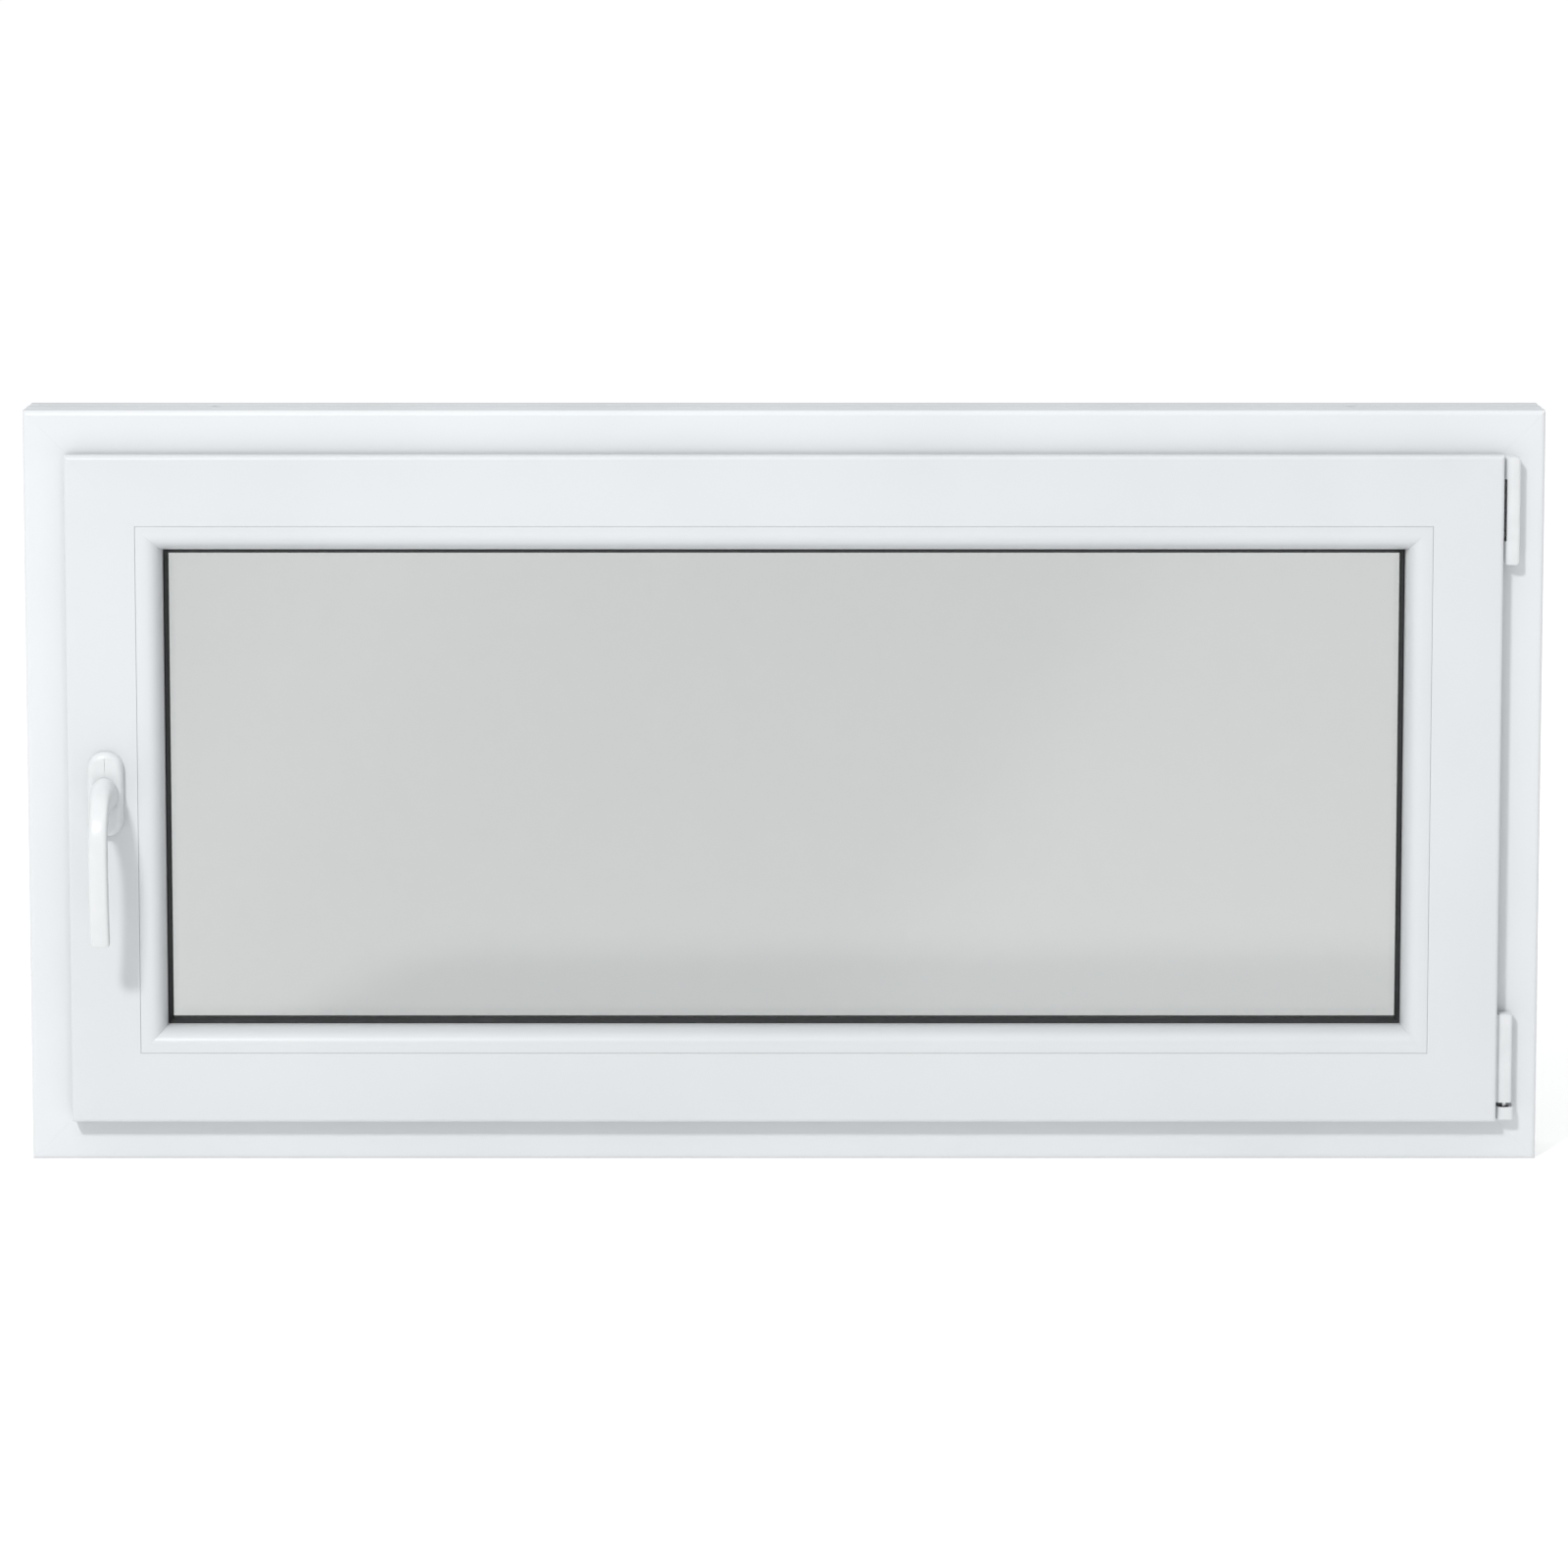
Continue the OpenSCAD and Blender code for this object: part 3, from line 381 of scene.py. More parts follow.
def plated_steel(name, along, warm=0.0):
    """Zinc-plated strip: rolled lines, a cool to straw-coloured tint and small stains."""
    s = Shader(name)
    rolled = s.noise(0.7 * MM, 3.0, ALONG[along])
    tint = s.noise(22 * MM, 3.0)
    stains = s.noise(5 * MM, 5.0).above(0.6, 0.74)
    cool = (0.60, 0.62, 0.65)
    straw = (0.63, 0.62 - 0.02 * warm, 0.60 - 0.06 * warm)
    base = s.mix(tint.above(0.3, 0.72), cool, straw)
    base = s.mix(stains * 0.35, base, (0.42, 0.43, 0.45))
    gloss = 0.27 + (rolled - 0.5) * 0.16 + stains * 0.18
    return s.done(Base_Color=base, Roughness=gloss, Normal=s.bump(rolled, 0.01 * MM), Metallic=1.0)


def galvanised_steel(name):
    """Hot-dip zinc with crystal spangle."""
    s = Shader(name)
    crystal = s.node("ShaderNodeSeparateColor", None, {0: s.cells(11 * MM, "Color")})
    veins = s.noise(2 * MM, 4.0)
    base = s.mix(crystal, (0.40, 0.42, 0.44), (0.60, 0.62, 0.64))
    gloss = 0.34 + crystal * 0.18 + (veins - 0.5) * 0.1
    return s.done(Base_Color=base, Roughness=gloss, Normal=s.bump(veins, 0.02 * MM), Metallic=1.0)


def cast_zinc(name, colour=(0.52, 0.53, 0.55)):
    """Die-cast zinc alloy with a silver coat and a fine sandy skin."""
    s = Shader(name)
    skin = s.noise(0.5 * MM, 3.0)
    flow = s.noise(9 * MM, 4.0)
    base = s.mix(flow.above(0.35, 0.65), tone(colour, 0.88), tone(colour, 1.1))
    gloss = 0.42 + (flow - 0.5) * 0.2 + (skin - 0.5) * 0.1
    return s.done(Base_Color=base, Roughness=gloss, Normal=s.bump(skin, 0.03 * MM), Metallic=0.85)


def nylon(name, colour):
    """Moulded nylon with a faint flow swirl."""
    s = Shader(name)
    skin = s.noise(0.6 * MM, 2.0)
    swirl = s.noise(6 * MM, 3.0)
    base = s.mix(swirl.above(0.3, 0.7), tone(colour, 0.85), tone(colour, 1.15))
    return s.done(Base_Color=base, Roughness=0.5 + (swirl - 0.5) * 0.15, Normal=s.bump(skin, 0.01 * MM))


def window_glass(name, tint):
    """Clear float glass with painted reflection: its tint is a little deeper across broad slanting
    bands.
    """
    s = Shader(name)
    # Painted reflection: broad slanting bands across the pane, where the tint is up to 3% deeper.
    across = s.axis("X") * 1.5 - s.axis("Z") * 0.9
    reflection_band_inputs = {"W": across, "Scale": 1.2, "Detail": 1.0}
    painted_reflection_bands = s.node("ShaderNodeTexNoise", {"noise_dimensions": "1D"}, reflection_band_inputs)
    film = s.noise(0.05, 4.0).above(0.5, 0.8)
    base = s.mix(painted_reflection_bands.above(0.35, 0.65), tone(tint, 0.97), tone(tint, 1.0))
    ripple = s.bump(s.noise(0.3, 1.0), 0.02 * MM)
    return s.done(
        Base_Color=base,
        Roughness=film * 0.012,
        Normal=ripple,
        IOR=1.46,
        Transmission_Weight=1.0,
    )


def spacer_metal(name, pitch):
    """Grey spacer bar with a double row of vent holes down its middle, coloured near black as painted
    shade inside the holes.
    """
    s = Shader(name)
    low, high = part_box("spacer_bar")
    across = abs(s.axis("Y") - (low.y + high.y) / 2) - 2.2 * MM
    run = s.axis("X") + s.axis("Z")
    step = (run / pitch).fraction() - 0.5
    from_hole = (step * pitch) ** 2.0 + across ** 2.0
    hole = 1 - from_hole.above((0.35 * MM) ** 2, (0.6 * MM) ** 2)
    brushed = s.noise(1 * MM, 2.0, (0.1, 1, 0.1))
    # Painted shade: the real vent holes are coloured near black for the shade inside them.
    base = s.mix(hole, (0.30, 0.31, 0.32), (0.01, 0.01, 0.01))
    return s.done(
        Base_Color=base,
        Roughness=0.42 + (brushed - 0.5) * 0.15,
        Normal=s.bump(1 - hole, 0.2 * MM),
        Metallic=0.3,
    )


def sealant(name):
    """Black butyl, squeezed in by hand, so a little wavy."""
    s = Shader(name)
    wave = s.noise(7 * MM, 3.0)
    base = s.mix(wave, (0.008, 0.008, 0.009), (0.022, 0.022, 0.024))
    return s.done(Base_Color=base, Roughness=0.5 + (wave - 0.5) * 0.3, Normal=s.bump(wave, 0.3 * MM))


def studio_floor(name, glow):
    """Lit white paper."""
    s = Shader(name)
    paper = s.noise(2 * MM, 2.0)
    clouds = s.noise(1.5, 2.0)
    base = s.mix(clouds, (0.62, 0.62, 0.62), (0.64, 0.64, 0.64))
    return s.done(
        Base_Color=base,
        Roughness=0.9,
        Normal=s.bump(paper, 0.02 * MM),
        Specular_IOR_Level=0.1,
        Emission_Color=(1.0, 1.0, 1.0),
        Emission_Strength=glow,
    )


# ---------------------------------------------------------------- mesh helpers


SHARP_ANGLE = 30
EASED_ANGLE = 34


def smooth_by_angle():
    """A node group that shades smooth and keeps sharp edges sharp."""
    found = bpy.data.node_groups.get("smooth_by_angle")
    if found:
        return found
    group = bpy.data.node_groups.new("smooth_by_angle", "GeometryNodeTree")
    group.interface.new_socket("Geometry", in_out="INPUT", socket_type="NodeSocketGeometry")
    group.interface.new_socket("Geometry", in_out="OUTPUT", socket_type="NodeSocketGeometry")
    start = group.nodes.new("NodeGroupInput")
    faces = group.nodes.new("GeometryNodeSetShadeSmooth")
    edges = group.nodes.new("GeometryNodeSetShadeSmooth")
    edges.domain = "EDGE"
    edges.inputs["Shade Smooth"].default_value = False
    angle = group.nodes.new("GeometryNodeInputMeshEdgeAngle")
    sharp = group.nodes.new("FunctionNodeCompare")
    sharp.operation = "GREATER_THAN"
    sharp.inputs[1].default_value = math.radians(SHARP_ANGLE)
    end = group.nodes.new("NodeGroupOutput")
    group.links.new(start.outputs[0], faces.inputs["Geometry"])
    group.links.new(faces.outputs[0], edges.inputs["Geometry"])
    group.links.new(angle.outputs["Unsigned Angle"], sharp.inputs[0])
    group.links.new(sharp.outputs[0], edges.inputs["Selection"])
    group.links.new(edges.outputs[0], end.inputs[0])
    return group


def smooth(obj):
    shade = obj.modifiers.new("smooth shading", "NODES")
    shade.node_group = smooth_by_angle()


def ease(obj, radius, segments):
    """Joins the mesh up, rounds its sharp edges and shades it smooth."""
    weld = obj.modifiers.new("join", "WELD")
    weld.merge_threshold = 0.005 * MM
    smooth(obj)
    if radius > 0:
        bevel = obj.modifiers.new("edge rounding", "BEVEL")
        bevel.width = radius
        bevel.segments = segments
        bevel.limit_method = "ANGLE"
        bevel.angle_limit = math.radians(EASED_ANGLE)
        bevel.miter_outer = "MITER_ARC"
        bevel.harden_normals = True


def coat(obj, material):
    obj.data.materials.clear()
    obj.data.materials.append(material)


def dress(names, material, radius=0.2 * MM, segments=2):
    """Finishes CAD nodes: a material, eased edges and smooth shading."""
    for name in names.split():
        coat(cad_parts[name], material)
        ease(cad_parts[name], radius, segments)


def new_piece(name, mesh, material, body, stands_for=()):
    obj = bpy.data.objects.new(name, mesh)
    bpy.context.scene.collection.objects.link(obj)
    coat(obj, material)
    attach(obj, body)
    if stands_for:
        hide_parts(*stands_for)
    return obj


def loft(name, rings, closed=False):
    """A mesh through rings of equally many points. closed joins the last ring to the first;
    otherwise both ends are capped."""
    bm = bmesh.new()
    made = [[bm.verts.new(point) for point in ring] for ring in rings]
    pairs = list(zip(made, made[1:]))
    if closed:
        pairs.append((made[-1], made[0]))
    for first, second in pairs:
        count = len(first)
        for k in range(count):
            bm.faces.new((first[k], first[(k + 1) % count], second[(k + 1) % count], second[k]))
    if not closed:
        bm.faces.new(reversed(made[0]))
        bm.faces.new(made[-1])
    bmesh.ops.recalc_face_normals(bm, faces=bm.faces)
    for face in bm.faces:
        face.smooth = True
    mesh = bpy.data.meshes.new(name)
    bm.to_mesh(mesh)
    bm.free()
    return mesh


def subdivide(obj, levels):
    modifier = obj.modifiers.new("smooth", "SUBSURF")
    modifier.levels = modifier.render_levels = levels


def rounded_power(angle, power):
    """Unit superellipse point at an angle."""
    c, s = math.cos(angle), math.sin(angle)
    return (
        math.copysign(abs(c) ** (2 / power), c),
        math.copysign(abs(s) ** (2 / power), s),
    )


# ---------------------------------------------------------------- handle shapes


NECK_RADIUS = 11 * MM
NECK_DEPTH = 14.5 * MM
DEPTH_LOSS = 8.3 * MM
TAPER = 0.9 * MM
STEPS_PER_CURVE = 14
LEVER_POINTS = 32
# The last rings draw in so that the grip's end is flat with a small round: (scale, way back).
GRIP_END = ((1.0, -1.6 * MM), (0.985, -0.8 * MM), (0.93, -0.25 * MM), (0.84, 0.0))
END_ROUND = 4 * MM


def bezier(points, t):
    a, b, c, d = (Vector(p) for p in points)
    return (1 - t) ** 3 * a + 3 * (1 - t) ** 2 * t * b + 3 * (1 - t) * t * t * c + t**3 * d


def lever_line():
    """Middle line of the lever as (way out from the sash face, height above the axis)."""
    base = SASH_FACE - COVER_LOW.y + 0.4 * MM
    mid = SASH_FACE - LEVER_LOW.y - 6 * MM
    drop = HANDLE_Z - LEVER_LOW.z - 0.6 * MM
    bend = -38 * MM
    neck = ((base, 0), (mid - 19 * MM, 3 * MM), (mid - 1 * MM, -6 * MM), (mid, bend))
    grip = (
        (mid, bend),
        (mid + 0.5 * MM, -64 * MM),
        (mid - 4 * MM, -92 * MM),
        (mid - 9 * MM, -drop),
    )
    line = [bezier(neck, i / STEPS_PER_CURVE) for i in range(STEPS_PER_CURVE + 1)]
    return line + [bezier(grip, i / STEPS_PER_CURVE) for i in range(1, STEPS_PER_CURVE + 1)]


def lever_rings(width):
    """Cross sections from the neck on the cover plate out and down to the grip's end."""
    line = lever_line()
    last = len(line) - 1
    sections = [(i, 1.0, 0.0) for i in range(last)]
    sections += [(last, scale, back) for scale, back in GRIP_END]
    rings = []
    for i, scale, back in sections:
        way = (line[min(i + 1, last)] - line[max(i - 1, 0)]).normalized()
        across = Vector((-way.y, way.x))
        share = min(i / (STEPS_PER_CURVE * 0.62), 1)
        share = share * share * (3 - 2 * share)
        past_neck = max(0, (i - STEPS_PER_CURVE) / STEPS_PER_CURVE)
        half_width = NECK_RADIUS + (width / 2 - NECK_RADIUS) * share
        half_depth = NECK_DEPTH - DEPTH_LOSS * share - TAPER * past_neck
        power = 2 + 1.6 * share
        centre = line[i] + way * back
        inset = (1 - scale) * END_ROUND
        ring = []
        for k in range(LEVER_POINTS):
            u, v = rounded_power(2 * math.pi * k / LEVER_POINTS, power)
            point = centre + across * v * (half_depth - inset)
            x = HANDLE_X + u * (half_width - inset)
            ring.append((x, SASH_FACE - point.x, HANDLE_Z + point.y))
        rings.append(ring)
    return rings


def plate_ring(half_width, half_height, corner, out, count=64):
    """A rounded rectangle at a distance out from the sash face, with equally many points
    on each of its corners."""
    ring = []
    quarter = count // 4
    centres = ((1, 1), (-1, 1), (-1, -1), (1, -1))
    for q, (sx, sz) in enumerate(centres):
        for k in range(quarter):
            angle = math.radians(90 * (q + k / (quarter - 1)))
            x = sx * (half_width - corner) + corner * math.cos(angle)
            z = sz * (half_height - corner) + corner * math.sin(angle)
            ring.append((HANDLE_X + x, SASH_FACE - out, HANDLE_Z + z))
    return ring


def cover_rings():
    """Domed cover plate: outer wall, crown, hole for the neck and the hollow underside."""
    w = (COVER_HIGH.x - COVER_LOW.x) / 2
    h = (COVER_HIGH.z - COVER_LOW.z) / 2
    top = COVER_HIGH.y - COVER_LOW.y
    corner, rim = 13.4 * MM, 0.05 * MM
    hole, wall, roof = 8.5 * MM, 1.6 * MM, 1.9 * MM
    crown_inset, crown_drop = 5.2 * MM, 6.2 * MM
    steps = 7
    rings = [plate_ring(w, h, corner, rim), plate_ring(w, h, corner, 0.5 * MM)]
    for i in range(steps + 1):
        angle = math.radians(90 * i / steps)
        inset = crown_inset * (1 - math.cos(angle)) ** 1.1
        out = top - crown_drop * (1 - math.sin(angle))
        rings.append(plate_ring(w - inset, h - inset, corner - inset * 0.7, out))
    lip = hole + 0.7 * MM
    rings.append(plate_ring(lip, lip, lip - rim, top))
    rings.append(plate_ring(hole, hole, hole - rim, top - 0.6 * MM))
    rings.append(plate_ring(hole, hole, hole - rim, top - roof))
    rings.append(plate_ring(w - 5 * MM, h - 5 * MM, 9 * MM, top - roof))
    rings.append(plate_ring(w - wall, h - wall, 12 * MM, top - 4 * MM))
    rings.append(plate_ring(w - wall, h - wall, 12 * MM, rim))
    return rings


# ---------------------------------------------------------------- screws


def islands(obj):
    """Corner points of each separate solid of a node."""
    bm = bmesh.new()
    bm.from_mesh(obj.data)
    bmesh.ops.remove_doubles(bm, verts=bm.verts, dist=0.01 * MM)
    seen = set()
    found = []
    for start in bm.verts:
        if start in seen:
            continue
        group, stack = [], [start]
        seen.add(start)
        while stack:
            vert = stack.pop()
            group.append(vert.co.copy())
            for edge in vert.link_edges:
                other = edge.other_vert(vert)
                if other not in seen:
                    seen.add(other)
                    stack.append(other)
        found.append(group)
    bm.free()
    return found


def screw_place(points):
    """Where a screw solid lies: (middle of its head's top, direction of its shank, length,
    shank radius, head radius)."""
    low = Vector(min(p[i] for p in points) for i in range(3))
    high = Vector(max(p[i] for p in points) for i in range(3))
    size = high - low
    axis = max(range(3), key=lambda i: size[i])
    middle = (low + high) / 2

    def radius(p):
        return (Vector(p[i] if i != axis else middle[i] for i in range(3)) - middle).length

    at_high = max(radius(p) for p in points if p[axis] > high[axis] - 0.1 * MM)
    at_low = max(radius(p) for p in points if p[axis] < low[axis] + 0.1 * MM)
    way = Vector((0, 0, 0))
    way[axis] = -1 if at_high > at_low else 1
    top = middle - way * size[axis] / 2
    return top, way, size[axis], min(at_high, at_low), max(at_high, at_low)


def screw_rings(length, shank, head):
    """Outline of a countersunk screw as (radius, depth below the head's top)."""
    rings = [(head * share, 0) for share in (0.22, 0.4, 0.6, 0.8)]
    rings += [(head * 0.95, 0.03 * MM), (head, 0.16 * MM), (head, 0.3 * MM), (shank, 1.5 * MM)]
    pitch = 1.8 * MM
    depth = 2.6 * MM
    while depth < length - 2.5 * MM:
        for share, down in ((0.72, 0), (0.98, 0.3), (0.72, 0.6)):
            rings.append((shank * share, depth + pitch * down))
        depth += pitch
    return rings + [(shank * 0.6, length - 1.2 * MM), (shank * 0.12, length)]


def add_screw(bm, top, way, length, shank, head, count=24):
    """A countersunk screw with a cross recess."""
    turn = way.to_track_quat("Z", "Y").to_matrix()
    arm, reach, sink = head * 0.13, head * 0.62, 1.1 * MM
    made = []
    for radius, depth in screw_rings(length, shank, head):
        ring = []
        for k in range(count):
            angle = 2 * math.pi * (k + 0.5) / count
            x, y = radius * math.cos(angle), radius * math.sin(angle)
            down = depth
            if depth == 0 and radius < reach and min(abs(x), abs(y)) < arm + 0.05 * head:
                down = sink * (1.15 - radius / reach * 0.5)
            ring.append(bm.verts.new(top + turn @ Vector((x, y, down))))
        made.append(ring)
    for first, second in zip(made, made[1:]):
        for k in range(count):
            bm.faces.new((first[k], first[(k + 1) % count], second[(k + 1) % count], second[k]))
    middle = bm.verts.new(top + turn @ Vector((0, 0, sink * 1.2)))
    for k in range(count):
        bm.faces.new((middle, made[0][(k + 1) % count], made[0][k]))
    bm.faces.new(made[-1])


def screws(node, body, material):
    bm = bmesh.new()
    for points in islands(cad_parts[node]):
        add_screw(bm, *screw_place(points))
    bmesh.ops.recalc_face_normals(bm, faces=bm.faces)
    mesh = bpy.data.meshes.new(node + "_cross_head")
    bm.to_mesh(mesh)
    bm.free()
    smooth(new_piece(node + "_cross_head", mesh, material, body, (node,)))


# ---------------------------------------------------------------- operators

# The sash's profile is a slightly darker white than the frame's.
SASH_TONE = 0.925


class WINDOW_OT_frame_bars(bpy.types.Operator):
    """Finishes the outer frame's mitred bars"""

    bl_idname = "window.frame_bars"
    bl_label = "Frame bars"

    def execute(self, context):
        p = context.scene.window_profile
        level = white_profile("frame_plastic_level", p.colour, p.roughness, "x")
        upright = white_profile("frame_plastic_upright", p.colour, p.roughness, "z")
        dress("frame_head frame_sill", level, p.edge)
        dress("frame_left_jamb frame_right_jamb", upright, p.edge)
        dress("frame_steel", galvanised_steel("frame_galvanised"), 0.3 * MM)
        dress("stop_gasket", black_rubber("stop_rubber", "x"), 0)
        return {"FINISHED"}


class WINDOW_OT_sash_bars(bpy.types.Operator):
    """Finishes the sash's mitred bars and glazing beads"""

    bl_idname = "window.sash_bars"
    bl_label = "Sash bars and beads"

    def execute(self, context):
        p = context.scene.window_profile
        colour = tone(p.colour, SASH_TONE)
        level = white_profile("sash_plastic_level", colour, p.roughness, "x")
        upright = white_profile("sash_plastic_upright", colour, p.roughness, "z")
        dress("sash_top_rail sash_bottom_rail bead_top bead_bottom", level, p.edge)
        dress("sash_lock_stile sash_hinge_stile bead_left bead_right", upright, p.edge)
        dress("sash_steel", galvanised_steel("sash_galvanised"), 0.3 * MM)
        dress("overlap_gasket", black_rubber("overlap_rubber", "x"), 0)
        return {"FINISHED"}


class WINDOW_OT_glazing(bpy.types.Operator):
    """Finishes panes, spacer, seal, packers and glazing gaskets"""

    bl_idname = "window.glazing"
    bl_label = "Glazing unit"

    def execute(self, context):
        g = context.scene.window_glass
        glass = window_glass("float_glass", g.tint)
        dress("inner_pane outer_pane", glass, 0)
        dress("spacer_bar", spacer_metal("spacer_dark", g.hole_pitch), 0.2 * MM)
        dress("edge_seal", sealant("butyl"), 0)
        dress("inner_glazing_gasket outer_glazing_gasket", black_rubber("glazing_rubber", "x"), 0)
        dress("setting_blocks", nylon("packer_plastic", (0.05, 0.16, 0.42)), 0.4 * MM)
        return {"FINISHED"}


class WINDOW_OT_handle(bpy.types.Operator):
    """Makes the lever and its cover plate and finishes what they cover"""

    bl_idname = "window.handle"
    bl_label = "Handle"

    def execute(self, context):
        h = context.scene.window_handle
        enamel = powder_coat("handle_enamel", h.colour)
        shape = loft("lever_grip", lever_rings(h.grip_width))
        lever = new_piece("lever_grip", shape, enamel, "handle", ("lever",))
        subdivide(lever, h.smoothness)
        plastic = moulded_plastic("cover_plastic", h.colour, 0.32)
        shape = loft("cover_plate", cover_rings(), closed=True)
        cover = new_piece("cover_plate", shape, plastic, "sash", ("handle_cover",))
        subdivide(cover, h.smoothness - 1)
        dress("handle_bush", nylon("bush_nylon", (0.62, 0.64, 0.65)), 0.2 * MM)
        dress("handle_base_plate", cast_zinc("base_zinc"), 0.2 * MM)
        dress("spindle", plated_steel("spindle_steel", "y"), 0.3 * MM)
        return {"FINISHED"}


class WINDOW_OT_hinges(bpy.types.Operator):
    """Finishes the two hinges, their caps and the stay"""

    bl_idname = "window.hinges"
    bl_label = "Hinges and stay"

    def execute(self, context):
        colour = context.scene.window_handle.colour
        caps = moulded_plastic("hinge_cap_plastic", colour, 0.34)
        dress("top_hinge_cover corner_band_cover pivot_rest_cap", caps, 0.45 * MM, 3)
        plates = plated_steel("hinge_steel", "z")
        dress("top_hinge_bracket bottom_pivot_rest corner_band", plates, 0.25 * MM)
        dress("top_hinge_pin pivot_pin", plated_steel("pin_steel", "z"), 0.2 * MM)
        dress("stay_arm", plated_steel("stay_steel", "x", 0.6), 0.3 * MM)
        dress("stay_stud", cast_zinc("stud_zinc"), 0.2 * MM)
        dress("pivot_bush", nylon("pivot_nylon", (0.12, 0.125, 0.13)), 0.1 * MM)
        return {"FINISHED"}


class WINDOW_OT_fittings(bpy.types.Operator):
    """Finishes the locking gear, strikers and small plastic parts"""

    bl_idname = "window.fittings"
    bl_label = "Locking gear"

    def execute(self, context):
        level = plated_steel("strip_steel_level", "x", 0.5)
        upright = plated_steel("strip_steel_upright", "z", 0.5)
        dress("top_faceplate bottom_faceplate stay_guide_rail", level, 0.25 * MM)
        dress("lock_faceplate corner_drives", upright, 0.25 * MM)
        dress("top_rod bottom_rod", plated_steel("rod_steel_level", "x"), 0.2 * MM)
        dress("stile_rods gearbox_case", plated_steel("rod_steel_upright", "z"), 0.2 * MM)
        cast = cast_zinc("striker_zinc")
        dress("striker_plates tilt_keep drive_rack pinion", cast, 0.15 * MM)
        dress("stile_cams top_cams bottom_cams", cast_zinc("cam_zinc", (0.62, 0.63, 0.65)), 0.3 * MM)
        caps = moulded_plastic("small_part_plastic", context.scene.window_profile.colour, 0.4)
        dress("drain_caps runup_block", caps, 0.3 * MM)
        return {"FINISHED"}


class WINDOW_OT_screws(bpy.types.Operator):
    """Makes the threaded screws with cross recesses"""

    bl_idname = "window.screws"
    bl_label = "Screws"

    def execute(self, context):
        steel = plated_steel("screw_steel", "y", 1.0)
        screws("frame_fitting_screws", "outer_frame", steel)
        screws("sash_fitting_screws", "sash", steel)
        screws("handle_screws", "sash", steel)
        return {"FINISHED"}


FLOOR_WIDTH = 120.0
LAMP_WIDTH = 0.9
LAMP_DISTANCE = 8.0
LAMP_ELEVATION = math.radians(35)
LAMP_SIDE = math.radians(22)


def studio_world(stage):
    """White to the camera; to everything else soft light that is stronger from above."""
    world = bpy.data.worlds.new("studio")
    world.use_nodes = True
    bpy.context.scene.world = world
    nodes, links = world.node_tree.nodes, world.node_tree.links
    nodes.clear()
    ray = nodes.new("ShaderNodeLightPath")
    where = nodes.new("ShaderNodeTexCoord")
    split = nodes.new("ShaderNodeSeparateXYZ")
    height = nodes.new("ShaderNodeMapRange")
    height.inputs["To Min"].default_value = stage.surround
    height.inputs["To Max"].default_value = stage.surround + stage.sky
    soft = nodes.new("ShaderNodeBackground")
    soft.inputs["Color"].default_value = (0.985, 0.995, 1.0, 1)
    plain = nodes.new("ShaderNodeBackground")
    plain.inputs["Color"].default_value = (1, 1, 1, 1)
    either = nodes.new("ShaderNodeMixShader")
    out = nodes.new("ShaderNodeOutputWorld")
    links.new(where.outputs["Generated"], split.inputs[0])
    links.new(split.outputs["Z"], height.inputs["Value"])
    links.new(height.outputs[0], soft.inputs["Strength"])
    links.new(ray.outputs["Is Camera Ray"], either.inputs[0])
    links.new(soft.outputs[0], either.inputs[1])
    links.new(plain.outputs[0], either.inputs[2])
    links.new(either.outputs[0], out.inputs["Surface"])


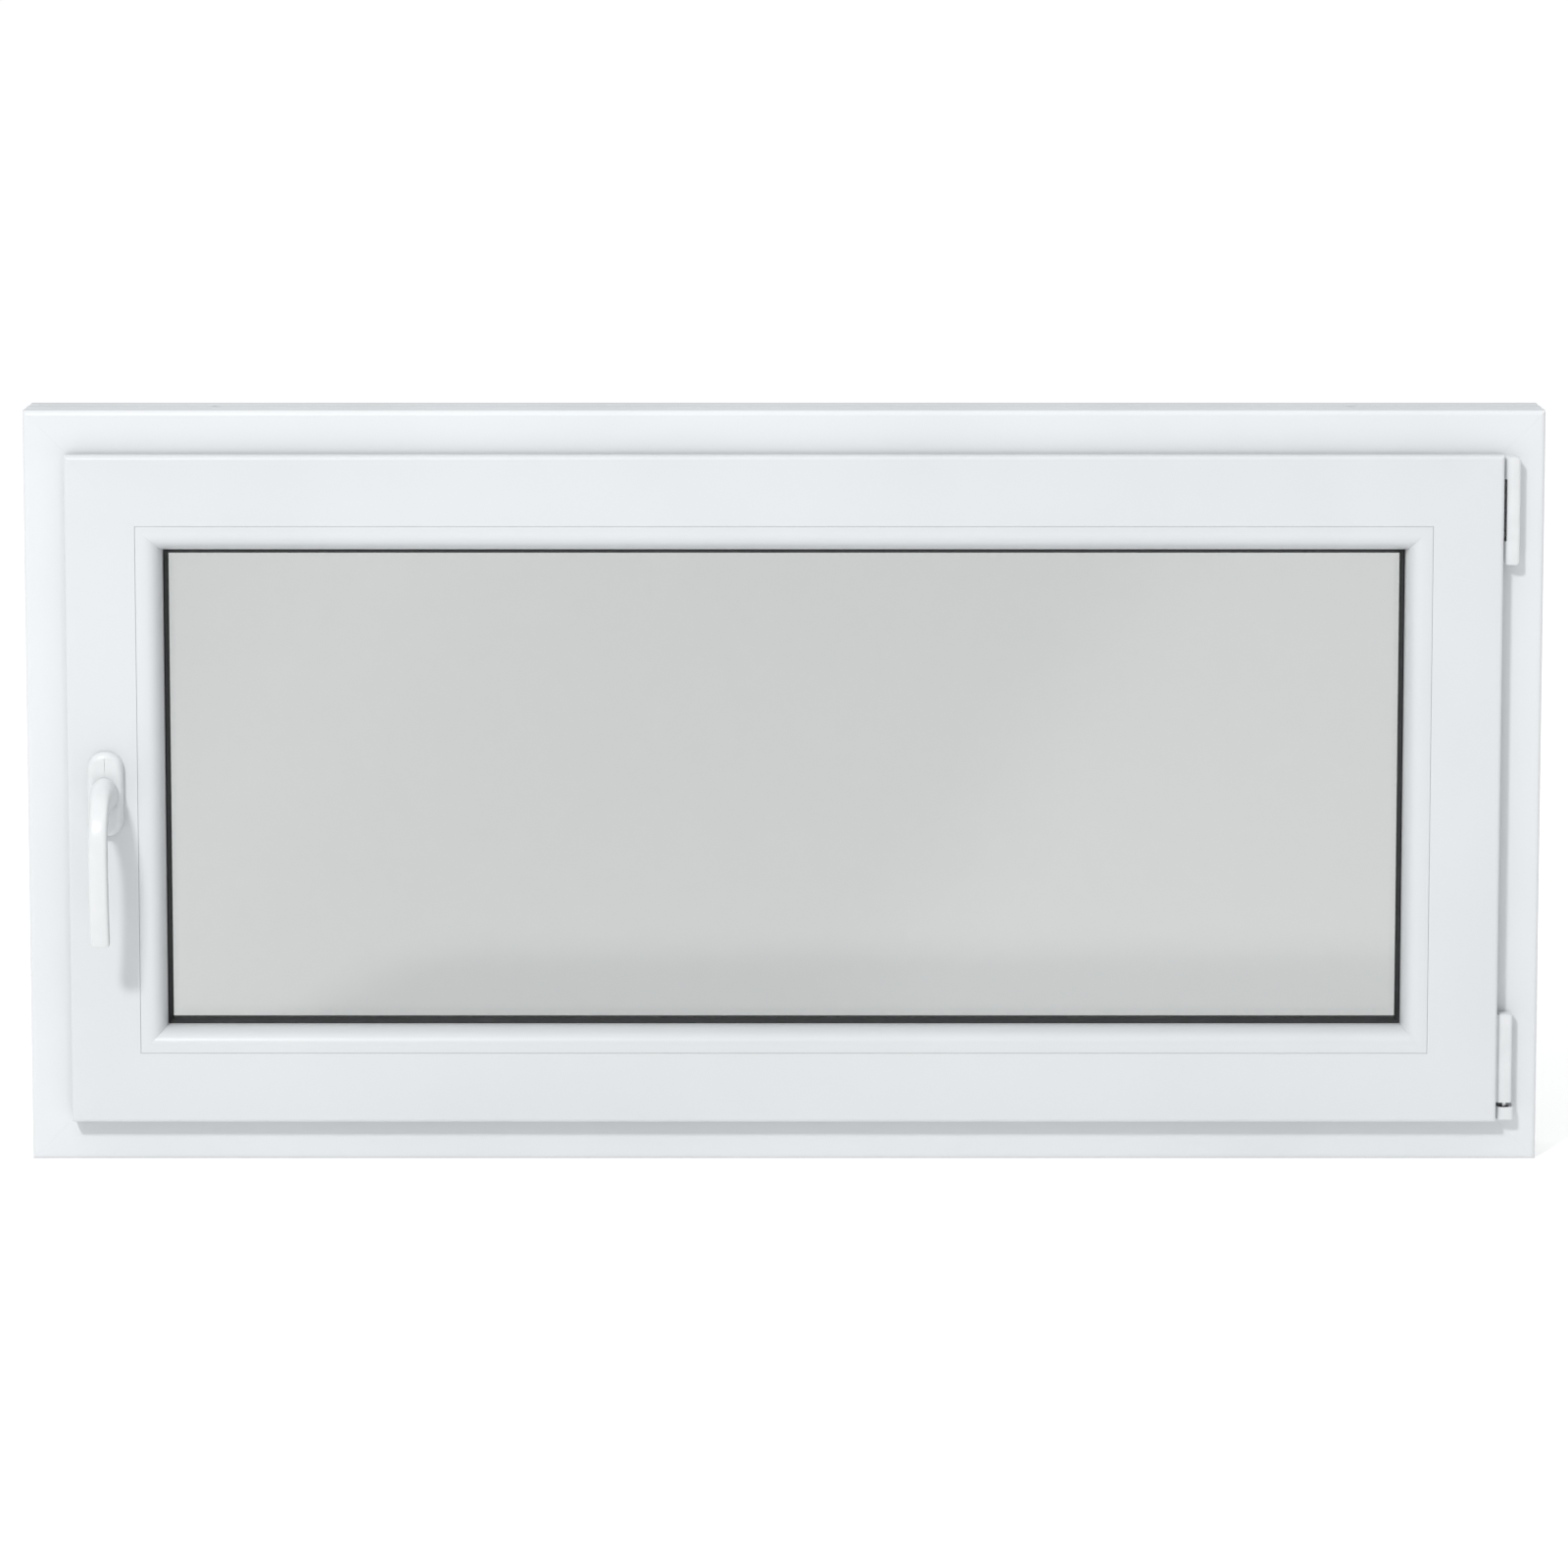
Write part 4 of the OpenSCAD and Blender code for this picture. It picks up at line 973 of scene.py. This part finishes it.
class WINDOW_OT_stage(bpy.types.Operator):
    """Makes the floor, the light and the camera"""

    bl_idname = "window.stage"
    bl_label = "Stage"

    def execute(self, context):
        stage = context.scene.window_stage
        half = FLOOR_WIDTH / 2
        corners = [(-half, -half, 0), (half, -half, 0), (half, half, 0), (-half, half, 0)]
        mesh = bpy.data.meshes.new("floor")
        mesh.from_pydata(corners, [], [(0, 1, 2, 3)])
        floor = bpy.data.objects.new("floor", mesh)
        context.scene.collection.objects.link(floor)
        coat(floor, studio_floor("floor_paper", stage.floor_glow))

        studio_world(stage)

        lamp = bpy.data.lights.new("key", "AREA")
        lamp.shape = "DISK"
        lamp.size = LAMP_WIDTH
        lamp.energy = stage.key_power
        lamp.color = (1.0, 0.99, 0.975)
        key = bpy.data.objects.new("key", lamp)
        context.scene.collection.objects.link(key)
        middle = Vector((0, SASH_FACE, FRAME_HEIGHT / 2))
        level = math.cos(LAMP_ELEVATION)
        left, front = math.sin(LAMP_SIDE) * level, math.cos(LAMP_SIDE) * level
        way = Vector((-left, -front, math.sin(LAMP_ELEVATION)))
        key.location = middle + way * LAMP_DISTANCE
        key.rotation_mode = "QUATERNION"
        key.rotation_quaternion = way.to_track_quat("Z", "Y")

        lens = bpy.data.cameras.new("camera")
        lens.sensor_width = 36
        lens.lens = stage.lens
        lens.shift_y = stage.shift
        lens.clip_end = 200
        camera = bpy.data.objects.new("camera", lens)
        context.scene.collection.objects.link(camera)
        camera.location = (0, -stage.distance, stage.height)
        camera.rotation_euler = (math.pi / 2 - stage.pitch, 0, 0)
        context.scene.camera = camera
        context.scene.view_settings.view_transform = "Standard"
        return {"FINISHED"}


STEPS = (
    WINDOW_OT_frame_bars,
    WINDOW_OT_sash_bars,
    WINDOW_OT_glazing,
    WINDOW_OT_handle,
    WINDOW_OT_hinges,
    WINDOW_OT_fittings,
    WINDOW_OT_screws,
    WINDOW_OT_stage,
)


class WINDOW_PT_panel(bpy.types.Panel):
    """Lists the window's steps"""

    bl_idname = "WINDOW_PT_panel"
    bl_label = "Window"
    bl_space_type = "VIEW_3D"
    bl_region_type = "UI"
    bl_category = "Window"

    def draw(self, context):
        for group in ("window_profile", "window_glass", "window_handle", "window_stage"):
            settings = getattr(context.scene, group)
            for name in settings.bl_rna.properties.keys():
                if name not in {"rna_type", "name"}:
                    self.layout.prop(settings, name)
        for step in STEPS:
            self.layout.operator(step.bl_idname)


SETTINGS = {
    "window_profile": ProfileSettings,
    "window_glass": GlassSettings,
    "window_handle": HandleSettings,
    "window_stage": StageSettings,
}


def register():
    for cls in (*SETTINGS.values(), *STEPS, WINDOW_PT_panel):
        bpy.utils.register_class(cls)
    for name, cls in SETTINGS.items():
        setattr(bpy.types.Scene, name, PointerProperty(type=cls))


def unregister():
    for name in SETTINGS:
        delattr(bpy.types.Scene, name)
    for cls in reversed((*SETTINGS.values(), *STEPS, WINDOW_PT_panel)):
        bpy.utils.unregister_class(cls)


def main():
    register()
    for step in STEPS:
        group, name = step.bl_idname.split(".")
        getattr(getattr(bpy.ops, group), name)()


if __name__ == "__main__":
    main()
